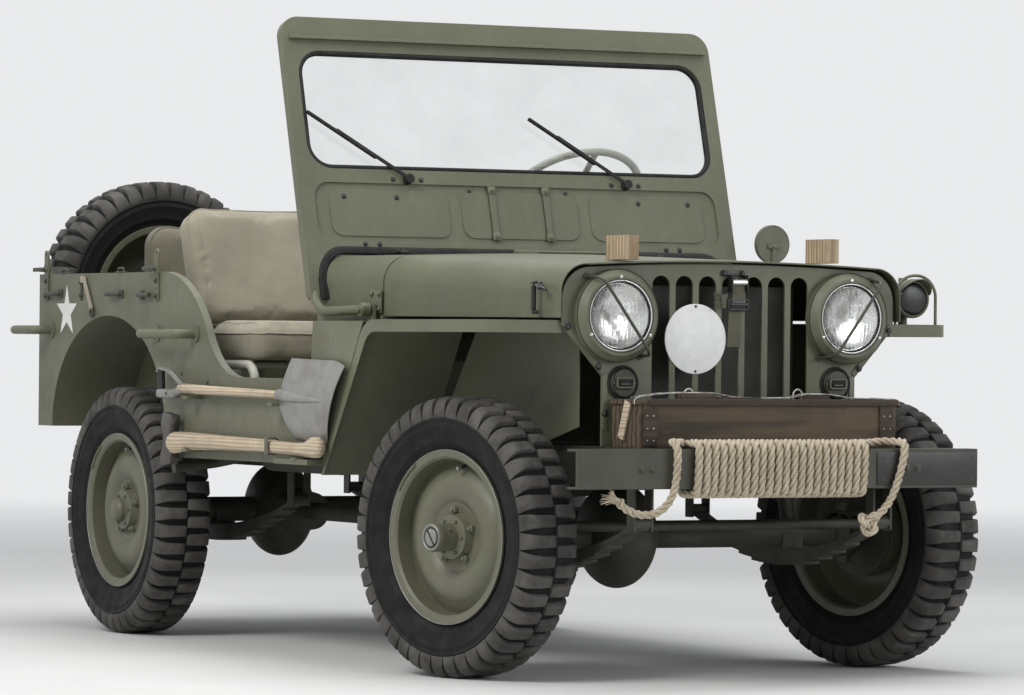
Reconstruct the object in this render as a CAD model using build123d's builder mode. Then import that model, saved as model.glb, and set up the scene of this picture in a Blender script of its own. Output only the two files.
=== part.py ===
"""Light army four-wheel-drive car with an open body, drawn in millimetres.

+X points forward, +Y to the car's left and +Z up. The ground is Z = 0 and the
origin lies on the ground under the middle of the car.
"""
from build123d import *
from math import asin, atan2, cos, degrees, hypot, radians, sin, sqrt, tan
import os

os.makedirs("parts", exist_ok=True)

# Running gear
WHEELBASE = 2032
TRACK = 1226
REAR_AXLE_X = -928
FRONT_AXLE_X = REAR_AXLE_X + WHEELBASE
TYRE_R = 357
TYRE_WIDTH = 164
LUG_COUNT = 36
LUG_LENGTH = 36
LUG_HEIGHT = 12
LUG_INNER = 5
LUG_FOOT_R = 302
STEER_REST = 12.8
KINGPIN_INSET = 90
STEER_ARM = 165
RUN_GAP = 0.3
CLEAR = 6

# Disc wheel, measured outboard from the wheel's centre plane
RIM_R = 222
BEAD_R = 204
RIM_HALF = 66
SPINDLE_R = 25
DRUM_R = 118
PLATE_A = -26
PLATE = 6
DRUM_A = -18
SPINDLE_A = -2

# Ladder frame
RAIL_TOP = 591.7
RAIL_DEPTH = 100
RAIL_OUT = 371
RAIL_WIDTH = 41
RAIL_WALL = 5
RAIL_REAR_X = -1466
BUMPER_FACE_X = 1660
BUMPER_DEPTH = 50
BUMPER_LOW = 492
BUMPER_HIGH = 591
BUMPER_LENGTH = 1168

# Leaf springs
SPRING_Y = 350
SPRING_WIDTH = 44
LEAF = 7
FRONT_LEAVES, REAR_LEAVES = 6, 7
springs = (
    # name, axle x, half length, eye z, top z over the axle pad, leaves
    ("spring_front", FRONT_AXLE_X, 460, TYRE_R + 45, TYRE_R - 41, FRONT_LEAVES),
    ("spring_rear", REAR_AXLE_X, 533, TYRE_R + 45, TYRE_R - 41, REAR_LEAVES),
)

# Body tub
SHEET = 3
TUB_HALF = 702
TUB_REAR = -1468
TUB_BOTTOM = 592
TUB_TOP = 1043
SILL_TOP = 749
SILL_BOTTOM = 521
DOOR_REAR_X = -566
DOOR_SILL_X = -43
DOOR_FRONT_X = 400
SIDE_TOP = 904
RIM_TURN = 22
RIM_CUT = 40
ARCH_X = -953
ARCH_A = 410
ARCH_B = 327
ARCH_INNER = 440
FIREWALL_X = 545

# Cowl and hood: half widths and heights of the sections
COWL_REAR_X = 300
COWL_REAR_HALF = 634
HOOD_REAR_HALF = 560
HOOD_FRONT_X = 1418
HOOD_FRONT_HALF = 502
HOOD_REAR_X = 551
HOOD_REAR_LOW = 918
HOOD_FRONT_LOW = 914
HOOD_REAR_Z = 1080
HOOD_FRONT_Z = 1052
HOOD_CROWN = 12
HOOD_CORNER = 75
LIP_X = 1424
LIP_STEP = 1
HOOD_PIN_X = 547
HOOD_PIN_R = 4
KNUCKLE_Y = 110
LIP_LAP = 8

# Front fenders
FENDER_TOP = 908
FENDER_REAR_X = 719
FENDER_FRONT_X = 1393
FENDER_CORNER = 110
FENDER_BEND = 90
FENDER_INNER = 405
SKIRT_X = 472
SKIRT_Z = 496
FENDER_LIP = 32
FLANGE_LOW = 870

# Grille
GRILLE_X = 1399
GRILLE_HALF = 489
GRILLE_TOP = 1043
GRILLE_LOW = RAIL_TOP + RUN_GAP
GRILLE_WAIST_HALF = 373
GRILLE_THICK = 6
GRILLE_CORNER = 80
WAIST_HIGH = 896
WAIST_LOW = 768
SLOT_COUNT = 7
SLOT_PITCH = 68
SLOT_WIDTH = 51
SLOT_LOW = 690
SLOT_HIGH = 1024
LAMP_Y = 340
LAMP_Z = 921
LAMP_R = 117
LAMP_GLASS_R = 84
LAMP_FACE_X = 1441
LAMP_HOLE_R = 98
LAMP_DOME = 27
PARK_Y = 314
PARK_Z = 752
PARK_R = 39
PARK_HOLE_R = 30

# Folding windscreen, leaning back
SCREEN_LEAN = 15.86
SCREEN_X = 353.6
SCREEN_Z0 = 900
SCREEN_HALF = 670
SCREEN_TOP = 1732
SCREEN_THICK = 28
LEDGE_DROP = 60
GLASS_LOW = 1318
GLASS_HIGH = SCREEN_TOP - 92
GLASS_HALF = 630
HINGE_X = 525
HINGE_Z = 935
HINGE_Y = 606

# Seats
SEAT_Y = 345
SEAT_HALF = 235
SEAT_TOP = 900
SEAT_LOW = 795
SEAT_FRONT_X = -230
SEAT_REAR_X = -640
BACK_LEAN = 17
BACK_HEIGHT = 385
BACK_THICK = 95

# Steering wheel and column
HAND_X = -60
HAND_Y = 330
HAND_Z = 1251
HAND_R = 219
COLUMN_DROP = 48
COLUMN_R = 19

# Rope wound on the bumper
ROPE_D = 22
ROPE_RIGHT = -277
ROPE_LEFT = 257

RIGHT, LEFT = -1, 1
SIDES = (("right", RIGHT), ("left", LEFT))


def save(piece, name):
    """Label a finished piece and write its STEP file."""
    piece.part.label = name
    export_step(piece.part, f"parts/{name}.step")


def tube(points, radius, bend=0):
    """Round bar or tube along straight runs joined by arcs."""
    with BuildPart() as bar:
        with BuildLine() as route:
            if len(points) == 2:
                Line(*points)
            else:
                FilletPolyline(*points, radius=bend)
        with BuildSketch(route.line ^ 0):
            Circle(radius)
        sweep()
    return bar.part


def box(x0, x1, y0, y1, z0, z1):
    """Add a block between two corners."""
    with Locations(((x0 + x1) / 2, (y0 + y1) / 2, (z0 + z1) / 2)):
        Box(x1 - x0, y1 - y0, z1 - z0)


def side_plane(y):
    """Plane at one Y whose axes are X and Z; extrusions run towards -Y."""
    return Plane.XZ.offset(-y)


# Ladder frame
rail_bottom = RAIL_TOP - RAIL_DEPTH
frame_front = BUMPER_FACE_X - BUMPER_DEPTH - RUN_GAP
cross_members = (
    # x, width along X, bottom z, height
    (RAIL_REAR_X + 30, 60, 500, 84),
    (-620, 70, 495, 70),
    (-100, 90, 495, 90),
    (644, 60, 510, 81.7),
    (1120, 60, 545, 46.7),
    (1290, 70, 500, 91.7),
    (frame_front - 60, 60, 505, 70),
)
with BuildPart() as frame:
    for name, side in SIDES:
        with BuildSketch(side_plane(side * RAIL_OUT)):
            with BuildLine():
                Polyline(
                    (RAIL_REAR_X, RAIL_TOP), (frame_front, RAIL_TOP), (frame_front, rail_bottom + 14),
                    (FRONT_AXLE_X + 200, rail_bottom), (REAR_AXLE_X - 200, rail_bottom),
                    (RAIL_REAR_X, rail_bottom + 30), close=True,
                )
            make_face()
        extrude(amount=side * RAIL_WIDTH)
    for name, side in SIDES:
        with BuildSketch(side_plane(side * (RAIL_OUT - RAIL_WALL))):
            with BuildLine():
                Polyline(
                    (RAIL_REAR_X - 5, RAIL_TOP - RAIL_WALL), (frame_front + 5, RAIL_TOP - RAIL_WALL),
                    (frame_front + 5, rail_bottom + 14 + RAIL_WALL),
                    (FRONT_AXLE_X + 200, rail_bottom + RAIL_WALL),
                    (REAR_AXLE_X - 200, rail_bottom + RAIL_WALL),
                    (RAIL_REAR_X - 5, rail_bottom + 30 + RAIL_WALL), close=True,
                )
            make_face()
        extrude(amount=side * RAIL_WIDTH, mode=Mode.SUBTRACT)
    for x, width, low, height in cross_members:
        reach = RAIL_OUT - RAIL_WALL
        box(x - width / 2, x + width / 2, -reach, reach, low, low + height)
    for name, axle_x, half, eye_z, pad_z, leaves in springs:
        for end in (-1, 1):
            for side_name, side in SIDES:
                x = axle_x + end * (half - 1)
                for cheek in (-1, 1):
                    y = side * SPRING_Y + cheek * (SPRING_WIDTH / 2 + RUN_GAP + 3)
                    box(x - 18, x + 18, y - 3, y + 3, eye_z - 19, rail_bottom + 34)
                y = side * SPRING_Y
                box(x - 18, x + 18, y - 28, y + 28, rail_bottom - 4, rail_bottom + 34)
save(frame, "frame")

# Front bumper channel, open to the rear
with BuildPart() as bumper_front:
    with BuildSketch(side_plane(-BUMPER_LENGTH / 2)):
        with BuildLine():
            Polyline(
                (BUMPER_FACE_X - BUMPER_DEPTH, BUMPER_LOW), (BUMPER_FACE_X, BUMPER_LOW),
                (BUMPER_FACE_X, BUMPER_HIGH), (BUMPER_FACE_X - BUMPER_DEPTH, BUMPER_HIGH),
                (BUMPER_FACE_X - BUMPER_DEPTH, BUMPER_HIGH - 6), (BUMPER_FACE_X - 6, BUMPER_HIGH - 6),
                (BUMPER_FACE_X - 6, BUMPER_LOW + 6), (BUMPER_FACE_X - BUMPER_DEPTH, BUMPER_LOW + 6),
                close=True,
            )
        make_face()
    extrude(amount=-BUMPER_LENGTH)
save(bumper_front, "bumper_front")

# Leaf springs: arcs about one centre, each leaf shorter than the one above
with BuildPart() as leaf_springs:
    for name, axle_x, half, eye_z, pad_z, leaves in springs:
        rise = eye_z - pad_z
        bend = (half**2 + rise**2) / (2 * rise)
        for side_name, side in SIDES:
            with BuildSketch(side_plane(side * (SPRING_Y + SPRING_WIDTH / 2))):
                for leaf in range(leaves):
                    reach = degrees(asin(half * (1 - leaf / (leaves + 1)) / bend))
                    inner = bend + leaf * LEAF
                    with BuildLine():
                        upper = CenterArc((axle_x, pad_z + bend), inner, -90 - reach, 2 * reach)
                        lower = CenterArc((axle_x, pad_z + bend), inner + LEAF, -90 - reach, 2 * reach)
                        Line(upper @ 0, lower @ 0)
                        Line(upper @ 1, lower @ 1)
                    make_face()
            extrude(amount=side * SPRING_WIDTH)
            for end in (-1, 1):
                eye = Plane(origin=(axle_x + end * half, side * SPRING_Y, eye_z), z_dir=(0, 1, 0))
                with Locations(eye):
                    Cylinder(17, SPRING_WIDTH)
save(leaf_springs, "leaf_springs")

# Axle housings: tube, differential, pinion nose and damper seats
DAMPER_Y, DAMPER_Z = 402, TYRE_R - 14
AXLE_TUBE_R = 36
DIFF_Y = -160
DIFF_R = 138
BALL_R = 48
KINGPIN_Y = TRACK / 2 - KINGPIN_INSET
KINGPIN_R = 11
KINGPIN_HALF = BALL_R + 22
axles = (
    # name, x, end of the tube, pinion direction
    ("axle_front", FRONT_AXLE_X, KINGPIN_Y - 40, -1),
    ("axle_rear", REAR_AXLE_X, TRACK / 2 + PLATE_A, 1),
)
for name, x, tube_end, nose in axles:
    across = Plane(origin=(x, 0, TYRE_R), z_dir=(0, 1, 0))
    with BuildPart() as axle:
        with Locations(across):
            Cylinder(AXLE_TUBE_R, 2 * tube_end)
        with BuildSketch(Plane(origin=(x, DIFF_Y, TYRE_R), x_dir=(0, 1, 0), z_dir=(1, 0, 0))):
            Ellipse(95, DIFF_R)
            with Locations((0, -DIFF_R)):
                Rectangle(200, 2 * DIFF_R, mode=Mode.SUBTRACT)
        revolve(axis=Axis((x, DIFF_Y, TYRE_R), (0, 1, 0)), revolution_arc=360)
        with BuildSketch(Plane(origin=(x, DIFF_Y, TYRE_R), z_dir=(nose, 0, 0))):
            Circle(78)
        extrude(amount=230, taper=6)
        for side_name, side in SIDES:
            y = side * SPRING_Y
            box(x - 40, x + 40, y - 30, y + 30, TYRE_R - 40, TYRE_R)
            low, high = sorted((side * (DAMPER_Y - 22), side * (DAMPER_Y + 18)))
            box(x - 76, x + 10, low, high, TYRE_R - 46, DAMPER_Z - 15 - RUN_GAP)
            if name == "axle_front":
                with Locations((x, side * KINGPIN_Y, TYRE_R)):
                    Sphere(BALL_R)
                    Cylinder(KINGPIN_R, 2 * KINGPIN_HALF)
            else:
                with BuildSketch(Plane(origin=(x, side * tube_end, TYRE_R), z_dir=(0, side, 0))):
                    Circle(DRUM_R)
                extrude(amount=PLATE)
                with BuildSketch(Plane(origin=(x, side * tube_end, TYRE_R), z_dir=(0, side, 0))):
                    Circle(SPINDLE_R)
                extrude(amount=SPINDLE_A - PLATE_A)
    save(axle, name)


def wheel_frame(x, side, turn):
    """Centre and outboard direction of a wheel turned about its kingpin."""
    angle = radians(turn)
    out = (-side * sin(angle), side * cos(angle), 0)
    centre = (x + out[0] * KINGPIN_INSET, side * KINGPIN_Y + out[1] * KINGPIN_INSET, TYRE_R)
    return Vector(*centre), Vector(*out)


def section_plane(centre, out):
    """Plane through the wheel's axle: local x outboard, local y up."""
    return Plane(origin=centre, x_dir=out, z_dir=out.cross(Vector(0, 0, 1)))


# Tyre about the Y axis: carcass with tread blocks fused on, left and right staggered
tyre_half = TYRE_WIDTH / 2
tread_r = TYRE_R - LUG_HEIGHT
with BuildPart() as one_lug:
    with BuildSketch(Plane.YZ.offset(-LUG_LENGTH / 2)):
        with BuildLine():
            Polyline(
                (LUG_INNER, tread_r - 8), (LUG_INNER, TYRE_R), (tyre_half - 16, TYRE_R), (tyre_half - 2, TYRE_R - 18),
                (tyre_half, LUG_FOOT_R), (tyre_half - 12, LUG_FOOT_R), (tyre_half - 26, tread_r - 8), close=True,
            )
        make_face()
    extrude(amount=LUG_LENGTH)
with BuildPart() as tyre_master:
    with BuildSketch(Plane.YZ):
        with BuildLine():
            Polyline((-56, BEAD_R + RUN_GAP), (56, BEAD_R + RUN_GAP), (56.5, RIM_R + 6))
            ThreePointArc((56.5, RIM_R + 6), (tyre_half - 3, RIM_R + 62), (tyre_half - 9, TYRE_R - 36))
            Polyline((tyre_half - 9, TYRE_R - 36), (tyre_half - 20, tread_r), (20 - tyre_half, tread_r))
            Line((20 - tyre_half, tread_r), (9 - tyre_half, TYRE_R - 36))
            ThreePointArc((9 - tyre_half, TYRE_R - 36), (3 - tyre_half, RIM_R + 62), (-56.5, RIM_R + 6))
            Line((-56.5, RIM_R + 6), (-56, BEAD_R + RUN_GAP))
        make_face()
    revolve(axis=Axis.Y)
    pitch = 360 / LUG_COUNT
    turns = [Location((0, 0, 0), (0, 180 + pitch * index, 0)) for index in range(LUG_COUNT)]
    far_turns = [Location((0, 0, 0), (0, pitch * (index + 0.5), 180)) for index in range(LUG_COUNT)]
    with Locations(*turns, *far_turns):
        add(one_lug.part)


def make_tyre(centre, out):
    """Copy of the tyre standing at one wheel's centre, its axle along out."""
    with BuildPart() as tyre:
        with Locations(Plane(origin=centre, x_dir=out.cross(Vector(0, 0, 1)), z_dir=(0, 0, 1))):
            add(tyre_master.part)
    return tyre


def make_disc(centre, out, hub_end, bore_r):
    """Rim, dished disc, hub and brake drum revolved about the axle."""
    inside = BEAD_R - 6
    with BuildPart() as disc:
        with BuildSketch(section_plane(centre, out)):
            with BuildLine():
                Polyline(
                    (-RIM_HALF, RIM_R), (-59, RIM_R), (-57.5, BEAD_R), (57.5, BEAD_R), (59, RIM_R),
                    (RIM_HALF, RIM_R), (RIM_HALF - 2, BEAD_R), (58, inside), (10, inside), (14, 190), (30, 165),
                )
                ThreePointArc((30, 165), (44, 128), (30, 88))
                Polyline(
                    (30, 88), (24, 62), (48, 56), (52, 36), (hub_end, 34), (hub_end, 0), (0, 0), (0, bore_r),
                    (DRUM_A, bore_r), (DRUM_A, DRUM_R), (18, DRUM_R), (18, 92), (24, 90),
                )
                ThreePointArc((24, 90), (38, 128), (24, 162))
                Polyline(
                    (24, 162), (4, 188), (2, inside), (-58, inside), (2 - RIM_HALF, BEAD_R), (-RIM_HALF, RIM_R),
                )
            make_face()
        revolve(axis=Axis(centre, out))
    return disc


# Wheels: front pair steered, rear pair straight
wheels = (
    # name, axle x, side, steered angle, hub's outer end
    ("front_right", FRONT_AXLE_X, RIGHT, STEER_REST, 112),
    ("front_left", FRONT_AXLE_X, LEFT, STEER_REST, 112),
    ("rear_right", REAR_AXLE_X, RIGHT, 0, 62),
    ("rear_left", REAR_AXLE_X, LEFT, 0, 62),
)
for name, x, side, turn, hub_end in wheels:
    centre, out = wheel_frame(x, side, turn)
    save(make_tyre(centre, out), f"tyre_{name}")
    save(make_disc(centre, out, hub_end, SPINDLE_R + RUN_GAP), f"wheel_{name}")

# Steering knuckles: cup round the axle's ball, spindle, back plate and steering arm
CUP_IN = BALL_R + CLEAR
CUP_OUT = CUP_IN + 11
CUP_EDGE = -12
ROD_Z = TYRE_R + 28
ROD_END_R = 18
for name, side in SIDES:
    centre, out = wheel_frame(FRONT_AXLE_X, side, STEER_REST)
    pivot = Vector(FRONT_AXLE_X, side * KINGPIN_Y, TYRE_R)
    ahead = Vector(cos(radians(STEER_REST)), sin(radians(STEER_REST)), 0)
    rim_out = sqrt(CUP_OUT**2 - CUP_EDGE**2)
    rim_in = sqrt(CUP_IN**2 - CUP_EDGE**2)
    with BuildPart() as knuckle:
        with BuildSketch(section_plane(pivot, out)):
            with BuildLine():
                ThreePointArc((CUP_EDGE, rim_out), (CUP_OUT * sqrt(0.5), CUP_OUT * sqrt(0.5)), (CUP_OUT, 0))
                Line((CUP_OUT, 0), (CUP_IN, 0))
                ThreePointArc((CUP_IN, 0), (CUP_IN * sqrt(0.5), CUP_IN * sqrt(0.5)), (CUP_EDGE, rim_in))
                Line((CUP_EDGE, rim_in), (CUP_EDGE, rim_out))
            make_face()
        revolve(axis=Axis(pivot, out))
        with BuildSketch(Plane(origin=pivot + out * (CUP_IN + 4), z_dir=out)):
            Circle(SPINDLE_R)
        extrude(amount=KINGPIN_INSET + SPINDLE_A - CUP_IN - 4)
        with BuildSketch(Plane(origin=pivot + out * (KINGPIN_INSET + PLATE_A), z_dir=out)):
            Circle(DRUM_R)
        extrude(amount=PLATE)
        for end in (-1, 1):
            with Locations(pivot + Vector(0, 0, end * (CUP_OUT + 4))):
                Cylinder(26, 20)
        with Locations(pivot):
            Cylinder(KINGPIN_R + RUN_GAP, 2 * (KINGPIN_HALF + 1), mode=Mode.SUBTRACT)
        arm_z = ROD_Z + ROD_END_R + RUN_GAP
        with BuildSketch(Plane(origin=pivot + Vector(0, 0, arm_z - TYRE_R), x_dir=ahead, z_dir=(0, 0, 1))):
            with Locations(((STEER_ARM + 42) / 2, 0)):
                SlotOverall(STEER_ARM - 42 + 2 * ROD_END_R, 2 * ROD_END_R)
        extrude(amount=12)
    save(knuckle, f"knuckle_{name}")

# Tie rod ahead of the front axle, its ends under the steering arms
rod_x = FRONT_AXLE_X + STEER_ARM * cos(radians(STEER_REST))
rod_shift = STEER_ARM * sin(radians(STEER_REST))
with BuildPart() as tie_rod:
    with Locations(Plane(origin=(rod_x, rod_shift, ROD_Z), z_dir=(0, 1, 0))):
        Cylinder(13, 2 * KINGPIN_Y)
    for name, side in SIDES:
        with Locations((rod_x, side * KINGPIN_Y + rod_shift, ROD_Z)):
            Cylinder(ROD_END_R, 2 * ROD_END_R)
save(tie_rod, "tie_rod")


def section_at(x, half, top, low, inset=0):
    """Rounded section of cowl or hood as a sketch standing at one X."""
    corner = HOOD_CORNER - inset
    slack = corner * (1 - sqrt(0.5))
    edge, peak = half - inset, top - inset
    with BuildSketch(Plane.YZ.offset(x)) as section:
        with BuildLine():
            Line((-edge, low), (-edge, peak - corner))
            ThreePointArc((-edge, peak - corner), (slack - edge, peak - slack), (corner - edge, peak))
            ThreePointArc((corner - edge, peak), (0, peak + HOOD_CROWN), (edge - corner, peak))
            ThreePointArc((edge - corner, peak), (edge - slack, peak - slack), (edge, peak - corner))
            Line((edge, peak - corner), (edge, low))
            Line((edge, low), (-edge, low))
        make_face()
    return section.sketch


def shell(first, second):
    """Open-bottomed sheet between two sections given as (x, half width, top, bottom)."""
    with BuildPart() as outer:
        add(section_at(*first))
        add(section_at(*second))
        loft()
    over = 2
    with BuildPart() as inner:
        add(section_at(first[0] - over, first[1], first[2], first[3] - 9, SHEET))
        add(section_at(second[0] + over, second[1], second[2], second[3] - 9, SHEET))
        loft()
    return outer.part - inner.part


drop = radians(COLUMN_DROP)
hand = Vector(HAND_X, HAND_Y, HAND_Z)
column_up = Vector(-cos(drop), 0, sin(drop))

# Places of the fittings on the tub
TAIL_LAMP_Y, TAIL_LAMP_Z = 610, 700
SPARE_Y, SPARE_Z = -275, 976
SPARE_X = TUB_REAR - 24 - RIM_HALF - 24
carrier_end = SPARE_X - 18 + RUN_GAP
tool_rests = ((-300, 695), (250, 684), (-300, 549), (400, 541))

# Open tub: sides with door cut, floor, rear panel, wheelhouses, toe board and ledges
skirt_slope = (FENDER_REAR_X - SKIRT_X) / (FENDER_TOP - SKIRT_Z)
side_front_top = FENDER_REAR_X - 4 - (FENDER_TOP - SIDE_TOP) * skirt_slope
side_front_low = SKIRT_X - 4 + (SILL_BOTTOM - SKIRT_Z) * skirt_slope
cut_x, cut_z = -262, 875
floor_top = TUB_BOTTOM + 6
toe_x, toe_top = 300, 800
inside = TUB_HALF - SHEET
with BuildPart() as tub:
    for name, side in SIDES:
        with BuildSketch(side_plane(side * TUB_HALF)):
            with BuildLine():
                Polyline(
                    (ARCH_X + ARCH_A, SILL_BOTTOM), (ARCH_X + ARCH_A - 20, TUB_BOTTOM), (TUB_REAR, TUB_BOTTOM),
                    (TUB_REAR, TUB_TOP), (DOOR_REAR_X, TUB_TOP),
                )
                TangentArc((DOOR_REAR_X, TUB_TOP), (cut_x, cut_z), tangent=(1, 0))
                TangentArc((DOOR_SILL_X, SILL_TOP), (cut_x, cut_z), tangent=(-1, 0))
                Polyline(
                    (DOOR_SILL_X, SILL_TOP), (DOOR_FRONT_X, SILL_TOP), (DOOR_FRONT_X + 13, SIDE_TOP),
                    (side_front_top, SIDE_TOP), (side_front_low, SILL_BOTTOM), (ARCH_X + ARCH_A, SILL_BOTTOM),
                )
            make_face()
            with Locations((ARCH_X, TUB_BOTTOM)):
                Ellipse(ARCH_A, ARCH_B, mode=Mode.SUBTRACT)
        extrude(amount=side * SHEET)
        with BuildSketch(side_plane(side * TUB_HALF)):
            with BuildLine():
                Polyline((TUB_REAR, SILL_TOP - RIM_CUT), (TUB_REAR, TUB_TOP), (DOOR_REAR_X, TUB_TOP))
                TangentArc((DOOR_REAR_X, TUB_TOP), (cut_x, cut_z), tangent=(1, 0))
                TangentArc((DOOR_SILL_X, SILL_TOP), (cut_x, cut_z), tangent=(-1, 0))
                Polyline(
                    (DOOR_SILL_X, SILL_TOP), (DOOR_FRONT_X, SILL_TOP), (DOOR_FRONT_X, SILL_TOP - RIM_CUT),
                    (TUB_REAR, SILL_TOP - RIM_CUT),
                )
            make_face()
            offset(amount=-SHEET, kind=Kind.INTERSECTION, mode=Mode.SUBTRACT)
            with Locations(((TUB_REAR + DOOR_FRONT_X) / 2, SILL_TOP - SHEET - RIM_CUT)):
                Rectangle(DOOR_FRONT_X - TUB_REAR + 10, 2 * RIM_CUT, mode=Mode.SUBTRACT)
        extrude(amount=side * RIM_TURN)
    box(TUB_REAR, toe_x, -inside, inside, TUB_BOTTOM, floor_top)
    box(TUB_REAR, TUB_REAR + SHEET, -inside, inside, TUB_BOTTOM, TUB_TOP)
    for name, side in SIDES:
        with Locations((ARCH_X, side * (TUB_HALF + ARCH_INNER) / 2, TUB_BOTTOM + 3)):
            Box(2 * ARCH_A, TUB_HALF - ARCH_INNER, 8, mode=Mode.SUBTRACT)
    for name, side in SIDES:
        with BuildSketch(side_plane(side * TUB_HALF)):
            with Locations((ARCH_X, TUB_BOTTOM)):
                Ellipse(ARCH_A + SHEET, ARCH_B + SHEET)
                Ellipse(ARCH_A, ARCH_B, mode=Mode.SUBTRACT)
            with Locations((ARCH_X, TUB_BOTTOM - ARCH_A)):
                Rectangle(3 * ARCH_A, 2 * ARCH_A, mode=Mode.SUBTRACT)
        extrude(amount=side * (TUB_HALF - ARCH_INNER))
        with BuildSketch(side_plane(side * ARCH_INNER)):
            with Locations((ARCH_X, TUB_BOTTOM)):
                Ellipse(ARCH_A + SHEET, ARCH_B + SHEET)
            with Locations((ARCH_X, TUB_BOTTOM - ARCH_A)):
                Rectangle(3 * ARCH_A, 2 * ARCH_A, mode=Mode.SUBTRACT)
        extrude(amount=-side * SHEET)
    with BuildSketch(side_plane(inside)):
        with BuildLine():
            Polyline(
                (toe_x, TUB_BOTTOM), (FIREWALL_X - 2, toe_top), (FIREWALL_X - 2, SIDE_TOP),
                (FIREWALL_X - 8, SIDE_TOP), (FIREWALL_X - 8, toe_top + 3), (toe_x - 3, floor_top), close=True,
            )
        make_face()
    extrude(amount=2 * inside)
    for name, side in SIDES:
        low, high = sorted((side * (HOOD_REAR_HALF - 10), side * inside))
        box(DOOR_FRONT_X + 13, side_front_top, low, high, SIDE_TOP - SHEET, SIDE_TOP)
    with Locations(Plane(origin=hand - column_up * 735, z_dir=column_up)):
        Cylinder(COLUMN_R + 3, 120, mode=Mode.SUBTRACT)
    for name, side in SIDES:
        low, high = sorted((side * (HINGE_Y - 28), side * (HINGE_Y - 18)))
        box(HINGE_X - 20, HINGE_X + 16, low, high, SIDE_TOP - 1, HINGE_Z + 14)
        with BuildSketch(Plane(origin=(HINGE_X, side * (HINGE_Y - 20), HINGE_Z), z_dir=(0, side, 0))):
            Circle(6)
        extrude(amount=38)
        with BuildSketch(Plane(origin=(TUB_REAR + 1, side * TAIL_LAMP_Y, TAIL_LAMP_Z), z_dir=(-1, 0, 0))):
            Circle(42)
        extrude(amount=46, taper=4)
    for x, z in tool_rests:
        box(x - 15, x + 15, -TUB_HALF - 50, -TUB_HALF + 1, z - 9, z - 1)
    box(277, 484, -TUB_HALF - 48, -TUB_HALF + 1, SILL_BOTTOM + 1, SILL_BOTTOM + 15)
    box(TUB_REAR - 6, TUB_REAR + 1, SPARE_Y - 110, SPARE_Y + 110, TUB_BOTTOM + 30, TUB_TOP - 8)
    with BuildSketch(Plane(origin=(TUB_REAR - 5, SPARE_Y, SPARE_Z), z_dir=(-1, 0, 0))):
        Circle(60)
    extrude(amount=TUB_REAR - 5 - carrier_end)
save(tub, "tub")

# Cowl: tapering shell between windscreen and hood, closed at the front
cowl_front = FIREWALL_X - 2
hood_hinge_z = HOOD_REAR_Z + HOOD_CROWN + HOOD_PIN_R
with BuildPart() as cowl:
    cowl_rear = (COWL_REAR_X, COWL_REAR_HALF, HOOD_REAR_Z, SIDE_TOP)
    add(shell(cowl_rear, (cowl_front, HOOD_REAR_HALF, HOOD_REAR_Z, SIDE_TOP)))
    add(section_at(cowl_front - SHEET, HOOD_REAR_HALF, HOOD_REAR_Z, SIDE_TOP, SHEET / 2))
    extrude(amount=SHEET, dir=(1, 0, 0))
    box(cowl_front - 22, HOOD_PIN_X, -KNUCKLE_Y, KNUCKLE_Y, hood_hinge_z - 5, hood_hinge_z - 2)
    with Locations(Plane(origin=(HOOD_PIN_X, 0, hood_hinge_z), z_dir=(0, 1, 0))):
        Cylinder(HOOD_PIN_R, 2 * KNUCKLE_Y)
save(cowl, "cowl")

# Dashboard under the cowl's rear edge
dash_x = COWL_REAR_X + 30
with BuildPart() as dashboard:
    dash_half = COWL_REAR_HALF - SHEET - 12
    with BuildSketch(Plane.YZ.offset(dash_x)):
        dash_low, dash_high = SIDE_TOP - 20, HOOD_REAR_Z - SHEET - RUN_GAP
        with Locations((0, (dash_low + dash_high) / 2)):
            RectangleRounded(2 * dash_half, dash_high - dash_low, 76)
    extrude(amount=SHEET)
save(dashboard, "dashboard")

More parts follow.
